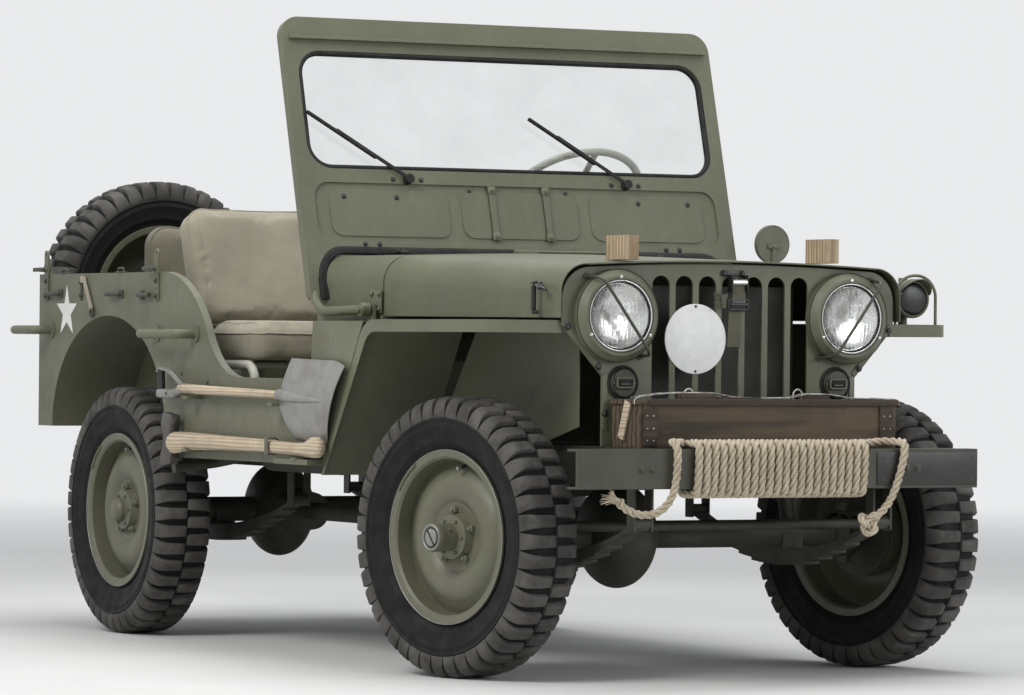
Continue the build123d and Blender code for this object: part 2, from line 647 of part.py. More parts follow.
# Front fenders: top, outer and front lips, slanting skirt and inner apron
for name, side in SIDES:
    with BuildPart() as fender:
        inner, outer = side * FENDER_INNER, side * TUB_HALF
        for depth, fall, foot, reach in (
            # vertical depth, step back of the bend, foot's step, width across
            (SHEET, 2, 4, TUB_HALF - FENDER_INNER),
            (FENDER_LIP, 22, 14, SHEET),
        ):
            with BuildSketch(side_plane(outer)):
                with BuildLine():
                    FilletPolyline(
                        (FENDER_FRONT_X, FENDER_TOP), (FENDER_REAR_X, FENDER_TOP), (SKIRT_X, SKIRT_Z),
                        radius=FENDER_BEND,
                    )
                    Line((SKIRT_X, SKIRT_Z), (SKIRT_X + foot, SKIRT_Z))
                    FilletPolyline(
                        (SKIRT_X + foot, SKIRT_Z), (FENDER_REAR_X + fall, FENDER_TOP - depth),
                        (FENDER_FRONT_X, FENDER_TOP - depth), radius=FENDER_BEND - fall,
                    )
                    Line((FENDER_FRONT_X, FENDER_TOP - depth), (FENDER_FRONT_X, FENDER_TOP))
                make_face()
            extrude(amount=side * reach)
        edge_low, edge_high = sorted((side * (GRILLE_HALF - 5), outer))
        box(FENDER_FRONT_X - SHEET, FENDER_FRONT_X, edge_low, edge_high, FENDER_TOP - FENDER_LIP, FENDER_TOP)
        corner_x, corner_y = FENDER_FRONT_X - FENDER_CORNER, side * (TUB_HALF - FENDER_CORNER)
        for radius, over, mode in ((FENDER_CORNER, 1, Mode.SUBTRACT), (FENDER_CORNER - SHEET, 0, Mode.ADD)):
            with BuildSketch(Plane.XY.offset(FENDER_TOP - FENDER_LIP - over)):
                with Locations((corner_x + FENDER_CORNER / 2, corner_y + side * FENDER_CORNER / 2)):
                    Rectangle(FENDER_CORNER + 2 * over, FENDER_CORNER + 2 * over)
                with Locations((corner_x, corner_y)):
                    if mode == Mode.ADD:
                        Circle(FENDER_CORNER, mode=Mode.INTERSECT)
                    Circle(radius, mode=Mode.SUBTRACT)
            extrude(amount=FENDER_LIP + 2 * over, mode=mode)
        flange_low, flange_high = sorted((inner, side * (GRILLE_HALF - 25)))
        box(FENDER_FRONT_X - SHEET, GRILLE_X - SHEET - RUN_GAP, flange_low, flange_high, FLANGE_LOW, FENDER_TOP)
        box(1071, 1131, *sorted((side * RAIL_OUT, inner)), 600, 606)
        with BuildSketch(side_plane(inner)):
            with BuildLine():
                Polyline(
                    (FENDER_FRONT_X - 46, FENDER_TOP), (FENDER_FRONT_X - 46, 640), (1180, 600), (760, 600),
                    (640, 690), (FENDER_REAR_X + FENDER_BEND, FENDER_TOP), close=True,
                )
            make_face()
        extrude(amount=-side * SHEET)
        with Locations(Plane(origin=(FENDER_FRONT_X, side * LAMP_Y, LAMP_Z), z_dir=(1, 0, 0))):
            Cylinder(LAMP_HOLE_R + 6, 90, mode=Mode.SUBTRACT)
    save(fender, f"fender_{name}")

# Grille: pressed panel with rounded slots and lamp holes
with BuildPart() as grille:
    corner = GRILLE_CORNER
    slack = corner * (1 - sqrt(0.5))
    with BuildSketch(Plane.YZ.offset(GRILLE_X - GRILLE_THICK / 2)):
        with BuildLine():
            Polyline(
                (-GRILLE_HALF, GRILLE_TOP - corner), (-GRILLE_HALF, WAIST_HIGH), (-GRILLE_WAIST_HALF, WAIST_LOW),
                (-GRILLE_WAIST_HALF, GRILLE_LOW), (GRILLE_WAIST_HALF, GRILLE_LOW), (GRILLE_WAIST_HALF, WAIST_LOW),
                (GRILLE_HALF, WAIST_HIGH), (GRILLE_HALF, GRILLE_TOP - corner),
            )
            ThreePointArc(
                (GRILLE_HALF, GRILLE_TOP - corner), (GRILLE_HALF - slack, GRILLE_TOP - slack),
                (GRILLE_HALF - corner, GRILLE_TOP),
            )
            ThreePointArc(
                (GRILLE_HALF - corner, GRILLE_TOP), (0, GRILLE_TOP + HOOD_CROWN), (corner - GRILLE_HALF, GRILLE_TOP),
            )
            ThreePointArc(
                (corner - GRILLE_HALF, GRILLE_TOP), (slack - GRILLE_HALF, GRILLE_TOP - slack),
                (-GRILLE_HALF, GRILLE_TOP - corner),
            )
        make_face()
        with GridLocations(SLOT_PITCH, 1, SLOT_COUNT, 1):
            with Locations((0, (SLOT_LOW + SLOT_HIGH) / 2)):
                SlotOverall(SLOT_HIGH - SLOT_LOW, SLOT_WIDTH, rotation=90, mode=Mode.SUBTRACT)
        with Locations((-LAMP_Y, LAMP_Z), (LAMP_Y, LAMP_Z)):
            Circle(LAMP_HOLE_R, mode=Mode.SUBTRACT)
        with Locations((-PARK_Y, PARK_Z), (PARK_Y, PARK_Z)):
            Circle(PARK_HOLE_R, mode=Mode.SUBTRACT)
    extrude(amount=GRILLE_THICK)
save(grille, "grille")

# Headlights and parking lamps, revolved about their own axes
grille_face = GRILLE_X + GRILLE_THICK / 2
bowl_r = LAMP_HOLE_R - RUN_GAP
with BuildPart() as headlights:
    for name, side in SIDES:
        axis = Axis((0, side * LAMP_Y, LAMP_Z), (1, 0, 0))
        flat = Plane(origin=(0, side * LAMP_Y, LAMP_Z), x_dir=(1, 0, 0), z_dir=(0, -1, 0))
        with BuildSketch(flat):
            with BuildLine():
                Polyline(
                    (LAMP_FACE_X - 80, 0), (LAMP_FACE_X - 80, 60), (LAMP_FACE_X - 65, bowl_r),
                    (grille_face + RUN_GAP, bowl_r), (grille_face + RUN_GAP, LAMP_R), (LAMP_FACE_X - 19, LAMP_R),
                    (LAMP_FACE_X, LAMP_GLASS_R + 17), (LAMP_FACE_X, LAMP_GLASS_R + 6),
                    (LAMP_FACE_X - 7, LAMP_GLASS_R + RUN_GAP), (LAMP_FACE_X - 15, LAMP_GLASS_R + RUN_GAP),
                    (LAMP_FACE_X - 30, 0), close=True,
                )
            make_face()
        revolve(axis=axis)
save(headlights, "headlights")
glass_back, dome_x = LAMP_FACE_X - 15 + RUN_GAP, LAMP_FACE_X - 5
dome_r = (LAMP_GLASS_R**2 + LAMP_DOME**2) / (2 * LAMP_DOME)
with BuildPart() as lamp_glass:
    for name, side in SIDES:
        with BuildSketch(Plane(origin=(0, side * LAMP_Y, LAMP_Z), x_dir=(1, 0, 0), z_dir=(0, -1, 0))):
            with BuildLine():
                Polyline((dome_x, LAMP_GLASS_R), (glass_back, LAMP_GLASS_R), (glass_back, 0), (dome_x + LAMP_DOME, 0))
                RadiusArc((dome_x + LAMP_DOME, 0), (dome_x, LAMP_GLASS_R), -dome_r)
            make_face()
        revolve(axis=Axis((0, side * LAMP_Y, LAMP_Z), (1, 0, 0)))
save(lamp_glass, "headlight_glass")
park_back = grille_face - 30
with BuildPart() as parking_lamps:
    for name, side in SIDES:
        with BuildSketch(Plane.YZ.offset(park_back)):
            with Locations((side * PARK_Y, PARK_Z)):
                Circle(PARK_HOLE_R - RUN_GAP)
        extrude(amount=grille_face - park_back + 1)
        with BuildSketch(Plane.YZ.offset(grille_face + RUN_GAP)):
            with Locations((side * PARK_Y, PARK_Z)):
                Circle(PARK_R)
        extrude(amount=12, taper=20)
        with BuildSketch(Plane.YZ.offset(grille_face + 6)):
            with Locations((side * PARK_Y, PARK_Z)):
                RectangleRounded(50, 30, 6)
        extrude(amount=12)
save(parking_lamps, "parking_lamps")

# Hood: tapering shell with a front lip, its hinge knuckles beside the cowl's
with BuildPart() as hood:
    hood_rear = (HOOD_REAR_X, HOOD_REAR_HALF, HOOD_REAR_Z, HOOD_REAR_LOW)
    add(shell(hood_rear, (HOOD_FRONT_X, HOOD_FRONT_HALF, HOOD_FRONT_Z, HOOD_FRONT_LOW)))
    flat_half = HOOD_FRONT_HALF - HOOD_CORNER - 4
    lip_z = HOOD_FRONT_Z - LIP_STEP
    with BuildSketch(Plane.YZ.offset(HOOD_FRONT_X - LIP_LAP)):
        with BuildLine():
            ThreePointArc((-flat_half, lip_z), (0, lip_z + HOOD_CROWN), (flat_half, lip_z))
            Line((flat_half, lip_z), (flat_half, lip_z - SHEET))
            ThreePointArc((flat_half, lip_z - SHEET), (0, lip_z + HOOD_CROWN - SHEET), (-flat_half, lip_z - SHEET))
            Line((-flat_half, lip_z - SHEET), (-flat_half, lip_z))
        make_face()
    extrude(amount=LIP_X - HOOD_FRONT_X + LIP_LAP)
    for name, side in SIDES:
        low, high = sorted((side * (KNUCKLE_Y + RUN_GAP), side * (KNUCKLE_Y + 60)))
        box(HOOD_PIN_X, HOOD_REAR_X + 24, low, high, hood_hinge_z - 6, hood_hinge_z - 2)
        with Locations(Plane(origin=(HOOD_PIN_X, (low + high) / 2, hood_hinge_z), z_dir=(0, 1, 0))):
            Cylinder(HOOD_PIN_R, high - low)
save(hood, "hood")

# Wood rest blocks on the hood, under the folded windscreen
BLOCK_X, BLOCK_Y = 1363, 296
BLOCK_SIZE = (105, 36, 62)
slope = (HOOD_REAR_Z - HOOD_FRONT_Z) / (HOOD_FRONT_X - HOOD_REAR_X)
crown_flat = HOOD_FRONT_HALF - HOOD_CORNER
crown_drop = HOOD_CROWN * ((BLOCK_Y - BLOCK_SIZE[1] / 2) / crown_flat) ** 2
block_base = HOOD_FRONT_Z + HOOD_CROWN - crown_drop + slope * (HOOD_FRONT_X - BLOCK_X + BLOCK_SIZE[0] / 2) + RUN_GAP
with BuildPart() as rest_blocks:
    with Locations(*((BLOCK_X, side * BLOCK_Y, block_base + BLOCK_SIZE[2] / 2) for name, side in SIDES)):
        Box(*BLOCK_SIZE)
save(rest_blocks, "rest_blocks")

# Windscreen: leaning frame, recessed lower panel, curved arms to the hinge pins
lean = radians(SCREEN_LEAN)
screen_normal = Vector(cos(lean), 0, sin(lean))


def along(z):
    """Distance up the leaning windscreen for a height above the ground."""
    return (z - SCREEN_Z0) / cos(lean)


def screen_plane(forward=0):
    """Plane of the windscreen's front face, moved along its normal."""
    origin = Vector(SCREEN_X, 0, SCREEN_Z0) + screen_normal * forward
    return Plane(origin=origin, x_dir=(0, 1, 0), z_dir=screen_normal)


def upright(low_z, high_z):
    """Centre height and length of a stretch of the windscreen."""
    return (along(low_z) + along(high_z)) / 2, along(high_z) - along(low_z)


FRAME_LOW = 935
ARCH_TOP = 1106
PANEL_LOW, PANEL_HIGH = 1136, 1262
glass_mid, glass_height = upright(GLASS_LOW, GLASS_HIGH)
frame_mid, frame_height = upright(FRAME_LOW, SCREEN_TOP)
with BuildPart() as windscreen_frame:
    with BuildSketch(screen_plane()):
        with Locations((0, frame_mid)):
            RectangleRounded(2 * SCREEN_HALF, frame_height, 55)
        with Locations((0, glass_mid)):
            RectangleRounded(2 * GLASS_HALF, glass_height, 70, mode=Mode.SUBTRACT)
        arch_mid, arch_height = upright(FRAME_LOW - 200, ARCH_TOP)
        with Locations((0, arch_mid)):
            RectangleRounded(2 * (COWL_REAR_HALF + 8), arch_height, 84, mode=Mode.SUBTRACT)
        with Locations((0, along(FRAME_LOW) + 15)):
            Rectangle(3 * SCREEN_HALF, 40, mode=Mode.SUBTRACT)
    extrude(amount=-SCREEN_THICK)
    recess_mid, recess_height = upright(ARCH_TOP + 14, PANEL_HIGH + 18)
    with BuildSketch(screen_plane()):
        with Locations((0, recess_mid)):
            RectangleRounded(2 * SCREEN_HALF - 90, recess_height, 45)
    extrude(amount=-6, mode=Mode.SUBTRACT)
    with BuildSketch(screen_plane(-18)):
        with Locations((0, recess_mid)):
            RectangleRounded(2 * SCREEN_HALF - 90, recess_height, 45)
    extrude(amount=-SCREEN_THICK, mode=Mode.SUBTRACT)
    pad_mid, pad_height = upright(PANEL_LOW, PANEL_HIGH)
    with BuildSketch(screen_plane(-8)):
        with GridLocations(400, 1, 3, 1):
            with Locations((0, pad_mid)):
                RectangleRounded(360, pad_height, 32)
    extrude(amount=5)
    ledge_mid = along(SCREEN_TOP - LEDGE_DROP)
    with BuildSketch(screen_plane(-1)):
        with Locations((0, ledge_mid)):
            Rectangle(2 * SCREEN_HALF - 40, 8)
    extrude(amount=15)
    for name, side in SIDES:
        arm = (
            (SCREEN_X - 16 - (985 - SCREEN_Z0) * sin(lean), side * 655, 985),
            (SCREEN_X + 2, side * 653, HINGE_Z - 6),
            (HINGE_X, side * HINGE_Y, HINGE_Z),
        )
        add(tube(arm, 13, 55))
        with Locations(Plane(origin=(HINGE_X, side * HINGE_Y, HINGE_Z), z_dir=(0, 1, 0))):
            Cylinder(18, 24)
            Cylinder(6 + RUN_GAP, 60, mode=Mode.SUBTRACT)
save(windscreen_frame, "windscreen_frame")

# Windscreen glass seated in the opening
with BuildPart() as windscreen_glass:
    with BuildSketch(screen_plane(-11)):
        with Locations((0, glass_mid)):
            RectangleRounded(2 * GLASS_HALF - 0.6, glass_height - 0.6, 69.7)
    extrude(amount=-6)
save(windscreen_glass, "windscreen_glass")

# Wipers: boss, arm and blade in front of the glass
with BuildPart() as wipers:
    for name, side in SIDES:
        foot = (side * LAMP_Y, along(1290))
        tip = (side * LAMP_Y - 285, along(1290) + 185)
        reach = hypot(tip[0] - foot[0], tip[1] - foot[1])
        tilt = degrees(atan2(tip[1] - foot[1], tip[0] - foot[0]))
        with BuildSketch(screen_plane(RUN_GAP)):
            with Locations(foot):
                Circle(13)
        extrude(amount=22)
        with BuildSketch(screen_plane(14)):
            with Locations(Location((foot[0], foot[1], 0), (0, 0, tilt))):
                with Locations((reach * 0.36, 0)):
                    Rectangle(reach * 0.72, 9)
        extrude(amount=5)
        with BuildSketch(screen_plane(5)):
            with Locations(Location((foot[0], foot[1], 0), (0, 0, tilt))):
                with Locations((reach * 0.66, 0)):
                    Rectangle(reach * 0.68, 7)
        extrude(amount=10)
save(wipers, "wipers")

# Engine, gearbox and transfer case, propeller shafts, radiator
ENGINE = (604, 1190, 150, RAIL_TOP + RUN_GAP, 920)
with BuildPart() as engine:
    box(ENGINE[0], ENGINE[1], -ENGINE[2], ENGINE[2], ENGINE[3], ENGINE[4])
save(engine, "engine")
SHAFT_Z = TYRE_R
with BuildPart() as gearbox:
    box(150, ENGINE[0] - RUN_GAP, -105, 105, 440, 588)
    box(-54.7, 150, -225, 100, TYRE_R - 27, 560)
save(gearbox, "gearbox")
with BuildPart() as propeller_shafts:
    nose_front = FRONT_AXLE_X - 230 - RUN_GAP
    nose_rear = REAR_AXLE_X + 230 + RUN_GAP
    add(tube(((150.3, DIFF_Y, SHAFT_Z), (nose_front, DIFF_Y, TYRE_R)), 25))
    add(tube(((-55, DIFF_Y, SHAFT_Z), (nose_rear, DIFF_Y, TYRE_R)), 25))
save(propeller_shafts, "propeller_shafts")
with BuildPart() as radiator:
    box(1258, 1322, -235, 235, RAIL_TOP + RUN_GAP, 1000)
save(radiator, "radiator")

# Spare wheel on its carrier behind the tub
spare_centre = Vector(SPARE_X, SPARE_Y, SPARE_Z)
rearward = Vector(-1, 0, 0)
with BuildPart() as spare_tyre:
    with Locations(Plane(origin=spare_centre, x_dir=(0, 1, 0), z_dir=(0, 0, 1))):
        add(tyre_master.part)
save(spare_tyre, "tyre_spare")
with BuildPart() as spare_disc:
    inside_r = BEAD_R - 6
    with BuildSketch(section_plane(spare_centre, rearward)):
        with BuildLine():
            Polyline(
                (-RIM_HALF, RIM_R), (-59, RIM_R), (-57.5, BEAD_R), (57.5, BEAD_R), (59, RIM_R),
                (RIM_HALF, RIM_R), (RIM_HALF - 2, BEAD_R), (58, inside_r), (10, inside_r), (14, 190), (30, 165),
            )
            ThreePointArc((30, 165), (44, 128), (30, 88))
            Polyline((30, 88), (24, 62), (24, 45), (18, 45), (18, 70), (24, 92))
            ThreePointArc((24, 92), (38, 128), (24, 162))
            Polyline(
                (24, 162), (4, 188), (2, inside_r), (-58, inside_r), (2 - RIM_HALF, BEAD_R), (-RIM_HALF, RIM_R),
            )
        make_face()
    revolve(axis=Axis(spare_centre, rearward))
save(spare_disc, "wheel_spare")
# Steering wheel with three spokes, and its column
hand_plane = Plane(origin=hand, x_dir=(0, 1, 0), z_dir=column_up)
with BuildPart() as steering_wheel:
    with Locations(hand_plane):
        Torus(HAND_R - 11, 11)
        Cylinder(30, 24)
        with PolarLocations(0, 3, start_angle=30):
            with Locations(((HAND_R - 11) / 2, 0, 0)):
                Box(HAND_R - 11, 16, 8)
save(steering_wheel, "steering_wheel")
column_top = hand - column_up * 12.5
column_low = hand - column_up * 842
with BuildPart() as steering_column:
    add(tube((tuple(column_top), tuple(column_low)), COLUMN_R))
    box(column_low.X - 25, column_low.X + 60, HAND_Y - 30, RAIL_OUT, RAIL_TOP, RAIL_TOP + 60)
save(steering_column, "steering_column")

# Front seats: tube frames, cushions and leaning backs
seat_tube = 13
seat_rail = SEAT_LOW - seat_tube - RUN_GAP
back = radians(BACK_LEAN)
back_up = Vector(-sin(back), 0, cos(back))
back_out = Vector(cos(back), 0, sin(back))
back_foot = Vector(-598, 0, 884)
with BuildPart() as seat_frames:
    for name, side in SIDES:
        for y in (SEAT_Y - 200, SEAT_Y + 70):
            behind = back_foot - back_out * (BACK_THICK + seat_tube + RUN_GAP)
            knee = behind - back_up * ((behind.Z - seat_rail) / back_up.Z)
            top = behind + back_up * 320
            route = (
                (-250, side * y, floor_top), (-250, side * y, seat_rail), (knee.X, side * y, seat_rail),
                (top.X, side * y, top.Z),
            )
            add(tube(route, seat_tube, 45))
            add(tube(((-520, side * y, floor_top), (-520, side * y, seat_rail)), seat_tube))
        y = side * (SEAT_Y + 215)
        arch = ((-250, y, floor_top), (-250, y, seat_rail), (-520, y, seat_rail), (-520, y, floor_top))
        add(tube(arch, seat_tube, 45))
        for x in (-330, -470):
            add(tube(((x, side * (SEAT_Y - 200), seat_rail), (x, side * (SEAT_Y + 215), seat_rail)), seat_tube - 3))
save(seat_frames, "seat_frames")
cushions = []
for name, side in SIDES:
    with BuildPart() as cushion:
        box(-590, SEAT_FRONT_X, side * SEAT_Y - SEAT_HALF, side * SEAT_Y + SEAT_HALF, SEAT_LOW, SEAT_TOP)
        fillet(cushion.edges().filter_by(Axis.Z), 40)
        fillet(cushion.faces().sort_by(Axis.Z)[-1].edges(), 25)
    cushions.append(cushion.part)
    with BuildPart() as back_pad:
        with BuildSketch(Plane(origin=back_foot + Vector(0, side * SEAT_Y, 0), x_dir=(0, 1, 0), z_dir=back_out)):
            with Locations((0, BACK_HEIGHT / 2)):
                RectangleRounded(2 * SEAT_HALF, BACK_HEIGHT, 55)
        extrude(amount=-BACK_THICK)
    cushions.append(back_pad.part)
with BuildPart() as seat_pads:
    for pad in cushions:
        add(pad)
save(seat_pads, "seat_pads")

# Rear bench between the wheelhouses
BENCH_HALF = 400
BENCH_LOW = 800
bench_tube = 12
with BuildPart() as rear_bench:
    box(-1350, -960, -BENCH_HALF, BENCH_HALF, BENCH_LOW, BENCH_LOW + 80)
    fillet(rear_bench.edges().filter_by(Axis.Z), 40)
with BuildPart() as rear_back:
    box(-1440, -1356, -BENCH_HALF, BENCH_HALF, 880, 1205)
    fillet(rear_back.edges().filter_by(Axis.X), 60)
with BuildPart() as bench_pads:
    add(rear_bench.part)
    add(rear_back.part)
save(bench_pads, "bench_pads")
with BuildPart() as bench_frame:
    for y in (-300, 300):
        rail = BENCH_LOW - bench_tube - RUN_GAP
        add(tube(((-990, y, floor_top), (-990, y, rail), (-1452.5, y, rail), (-1452.5, y, 1150)), bench_tube, 45))
        add(tube(((-1300, y, floor_top), (-1300, y, rail)), bench_tube))
    for x in (-1040, -1260):
        add(tube(((x, -300, rail), (x, 300, rail)), 10))
save(bench_frame, "bench_frame")

# Stowage box on the frame horns
with BuildPart() as stowage_box:
    box(1432, 1572, -359, 392, RAIL_TOP, 700)
    box(1426, 1578, -365, 398, 700, 712)
save(stowage_box, "stowage_box")

# Blank round sign on the grille
with BuildPart() as sign_plate:
    with BuildSketch(Plane.YZ.offset(grille_face + RUN_GAP)):
        with Locations((-104, 864.5)):
            Circle(89)
    extrude(amount=3)
save(sign_plate, "sign_plate")

# Mirror on an arm from the left ledge
MIRROR = (362, TUB_HALF + 46, 1134)
with BuildPart() as mirror:
    with Locations(Plane(origin=MIRROR, z_dir=(1, 0, 0))):
        Cylinder(54, 12)
    arm = (
        (MIRROR[0] + 9, MIRROR[1], MIRROR[2] + 4), (MIRROR[0] + 9, MIRROR[1], 1040),
        (430, TUB_HALF - 22, 1000), (430, TUB_HALF - 22, SIDE_TOP),
    )
    add(tube(arm, 6, 25))
save(mirror, "mirror")

# Blackout lamp with its hoop on the left fender
LAMP_X, LAMP_OUT = 1290, 590
with BuildPart() as blackout_lamp:
    with Locations(Plane(origin=(LAMP_X, LAMP_OUT, 975), z_dir=(1, 0, 0))):
        Cylinder(42, 80)
        with Locations((0, 0, 44)):
            Cylinder(50, 12)
    with Locations((LAMP_X, LAMP_OUT, (FENDER_TOP + 940) / 2)):
        Cylinder(12, 940 - FENDER_TOP)
    hoop = (
        (LAMP_X + 62, LAMP_OUT - 62, FENDER_TOP), (LAMP_X + 62, LAMP_OUT - 62, 1036),
        (LAMP_X + 62, LAMP_OUT + 62, 1036), (LAMP_X + 62, LAMP_OUT + 62, FENDER_TOP),
    )
    add(tube(hoop, 4, 58))
save(blackout_lamp, "blackout_lamp")

# Rope: wound sleeve round the bumper
wrap = ROPE_D + 1
with BuildPart() as rope_coil:
    with BuildSketch(side_plane(ROPE_LEFT)):
        middle = (BUMPER_FACE_X - BUMPER_DEPTH / 2, (BUMPER_LOW + BUMPER_HIGH) / 2)
        with Locations(middle):
            RectangleRounded(BUMPER_DEPTH + 2 * wrap, BUMPER_HIGH - BUMPER_LOW + 2 * wrap, 24)
            Rectangle(BUMPER_DEPTH + 2 * RUN_GAP, BUMPER_HIGH - BUMPER_LOW + 2 * RUN_GAP, mode=Mode.SUBTRACT)
    extrude(amount=ROPE_LEFT - ROPE_RIGHT)
save(rope_coil, "rope_coil")

# Shovel and axe on the right side
TOOL_Y = -TUB_HALF - 30
with BuildPart() as shovel:
    add(tube(((-350, TOOL_Y, 712), (330, TOOL_Y, 698)), 16))
    with BuildSketch(side_plane(TOOL_Y + 14)):
        with BuildLine():
            Polyline((327, 786), (719, 760), (719, 640), (327, 614), close=True)
        make_face()
    extrude(amount=4)
    with Locations(Plane(origin=(-400, TOOL_Y, 714), z_dir=(0, 1, 0))):
        Torus(50, 12)
save(shovel, "shovel")
with BuildPart() as axe:
    add(tube(((-403, TOOL_Y, 570), (546, TOOL_Y, 559)), 20))
    box(-440, -395, TOOL_Y - 14, TOOL_Y + 14, 500, 640)
save(axe, "axe")
# Tow hitch with an upright bore behind the rear cross member
HITCH_X, HITCH_Z, HITCH_BORE = -1505, 540, 13
with BuildPart() as tow_hitch:
    box(RAIL_REAR_X - 6, RAIL_REAR_X, -60, 60, 500, 584)
    box(HITCH_X - 28, RAIL_REAR_X, -30, 30, HITCH_Z - 15, HITCH_Z + 15)
    with Locations((HITCH_X, 0, HITCH_Z)):
        Cylinder(HITCH_BORE, 60, mode=Mode.SUBTRACT)
save(tow_hitch, "tow_hitch")

# Bent wire guards across the headlights
GUARD_R, GUARD_X = 4, LAMP_FACE_X + 35
with BuildPart() as lamp_guards:
    for name, side in SIDES:
        outer_y, inner_y = side * (LAMP_Y + 80), side * (LAMP_Y - 76)
        feet = ((outer_y, LAMP_Z + 98), (inner_y, LAMP_Z - 102))
        bow = (
            (grille_face + 1, *feet[0]), (GUARD_X, feet[0][0] - side * 8, feet[0][1] - 4),
            (GUARD_X, feet[1][0] + side * 8, feet[1][1] + 4), (grille_face + 1, *feet[1]),
        )
        add(tube(bow, GUARD_R, 28))
        for y, z in feet:
            with BuildSketch(Plane.YZ.offset(grille_face + RUN_GAP)):
                with Locations((y, z)):
                    Circle(9)
            extrude(amount=5)
save(lamp_guards, "lamp_guards")

# Grab handles on the sides and round the rear corners
HANDLE_R, HANDLE_OUT = 13, 63
with BuildPart() as grab_handles:
    for name, side in SIDES:
        wall, reach = side * (TUB_HALF + RUN_GAP), side * (TUB_HALF + HANDLE_OUT)
        near = ((-336, wall, 867), (-336, reach, 867), (-600, reach, 867), (-600, wall, 867))
        corner_y = side * (TUB_HALF - 47)
        far = (
            (-1370, wall, 877), (-1370, reach, 877), (TUB_REAR - HANDLE_OUT, reach, 877),
            (TUB_REAR - HANDLE_OUT, corner_y, 877), (TUB_REAR - RUN_GAP, corner_y, 877),
        )
        for route in (near, far):
            add(tube(route, HANDLE_R, 30))
        for x, z in ((-336, 867), (-600, 867), (-1370, 877)):
            with BuildSketch(Plane(origin=(x, wall, z), z_dir=(0, side, 0))):
                Circle(24)
            extrude(amount=5)
save(grab_handles, "grab_handles")

# Flat sockets for the top's bows, bolted to the sides
with BuildPart() as bow_brackets:
    for name, side in SIDES:
        for x, top in ((-1405, 1100), (-600, 1096)):
            wall = side * (TUB_HALF + RUN_GAP)
            low, high = sorted((wall, wall + side * 6))
            box(x - 13, x + 13, low, high, top - 134, top)
            with Locations(Plane(origin=(x, wall + side * 3, top), z_dir=(0, 1, 0))):
                Cylinder(13, 6)
                Cylinder(5, 12, mode=Mode.SUBTRACT)
            with BuildSketch(Plane(origin=(x, wall + side * 5, top - 44), z_dir=(0, side, 0))):
                Circle(7)
            extrude(amount=22)
save(bow_brackets, "bow_brackets")

# Rear bumperettes on the last cross member
with BuildPart() as bumperettes:
    for name, side in SIDES:
        with BuildSketch(Plane.XY.offset(500)):
            with BuildLine():
                edge = RAIL_REAR_X - RUN_GAP
                inner_y, outer_y = side * 215, side * (RAIL_OUT + 30)
                ring = Polyline(
                    (edge, inner_y), (edge - 60, inner_y), (edge - 92, inner_y + side * 36),
                    (edge - 92, outer_y - side * 36), (edge - 60, outer_y), (edge, outer_y),
                )
                offset(ring, amount=6, side=Side.LEFT if side > 0 else Side.RIGHT, closed=True)
            make_face()
        extrude(amount=84)
save(bumperettes, "bumperettes")

# Levers through the floor and pedals on the toe board
with BuildPart() as levers:
    for x, y, bend_z, knob in (
        (170, -30, 720, (40, -38, 905)),
        (150, 30, 690, (50, 38, 815)),
        (110, 66, 680, (20, 72, 780)),
    ):
        add(tube(((x, y, floor_top + RUN_GAP), (x, y, bend_z), knob), 8, 40))
        with Locations((knob[0], knob[1], knob[2] + 6)):
            Cylinder(15, 34)
with BuildPart() as pedals:
    toe_way = Vector(FIREWALL_X - 8 - (toe_x - 3), 0, toe_top + 3 - floor_top).normalized()
    toe_up = Vector(-toe_way.Z, 0, toe_way.X)
    for y in (HAND_Y - 95, HAND_Y + 85):
        root = Vector(toe_x - 3, y, floor_top) + toe_way * 178 + toe_up * RUN_GAP
        knee = root + toe_up * 84
        pad = knee + Vector(-38, 0, 8)
        add(tube((tuple(root), tuple(knee), tuple(pad)), 7, 20))
        with Locations(Plane(origin=pad, z_dir=(-1, 0, 0.7))):
            Box(56, 62, 8)
save(levers, "levers")
save(pedals, "pedals")

# Exhaust: pipe from the engine, silencer outboard of the right rail, tail pipe
with BuildPart() as exhaust:
    down = (
        (705, -ENGINE[2] - RUN_GAP, 690), (705, -232, 690), (705, -232, 462), (520, -300, 455),
        (330, -440, 470), (60, -440, 535),
    )
    add(tube(down, 19, 40))
    with Locations(Plane(origin=(-150, -440, 535), z_dir=(1, 0, 0))):
        Cylinder(52, 430)
    add(tube(((-360, -440, 535), (-440, -440, 535), (-505, -560, 505), (-505, -690, 490)), 16, 45))
save(exhaust, "exhaust")

# Dampers between the rails and the axles' spring pads
with BuildPart() as dampers:
    for x in (FRONT_AXLE_X, REAR_AXLE_X):
        for name, side in SIDES:
            low_eye = Vector(x - 60, side * DAMPER_Y, DAMPER_Z)
            high_eye = Vector(x - 118, side * DAMPER_Y, 545)
            way = (high_eye - low_eye).normalized()
            with Locations(Plane(origin=low_eye - Vector(0, side * 3, 0), z_dir=(0, 1, 0))):
                Cylinder(15, 37)
            with Locations(Plane(origin=high_eye - Vector(0, side * 7.4, 0), z_dir=(0, 1, 0))):
                Cylinder(15, 46)
            with BuildSketch(Plane(origin=low_eye, z_dir=way)):
                Circle(20)
            extrude(amount=110)
            with BuildSketch(Plane(origin=high_eye, z_dir=-way)):
                Circle(24)
            extrude(amount=108)
save(dampers, "dampers")


def radii_for(points, largest=1e9):
    """Corner radii of a cord's tube: as large as the two runs at each corner allow."""
    steps = [Vector(*b) - Vector(*a) for a, b in zip(points, points[1:])]
    found = []
    for before, after in zip(steps, steps[1:]):
        turn = radians(before.get_angle(after))
        found.append(min(largest, 0.45 * min(before.length, after.length) / tan(turn / 2)))
    return found


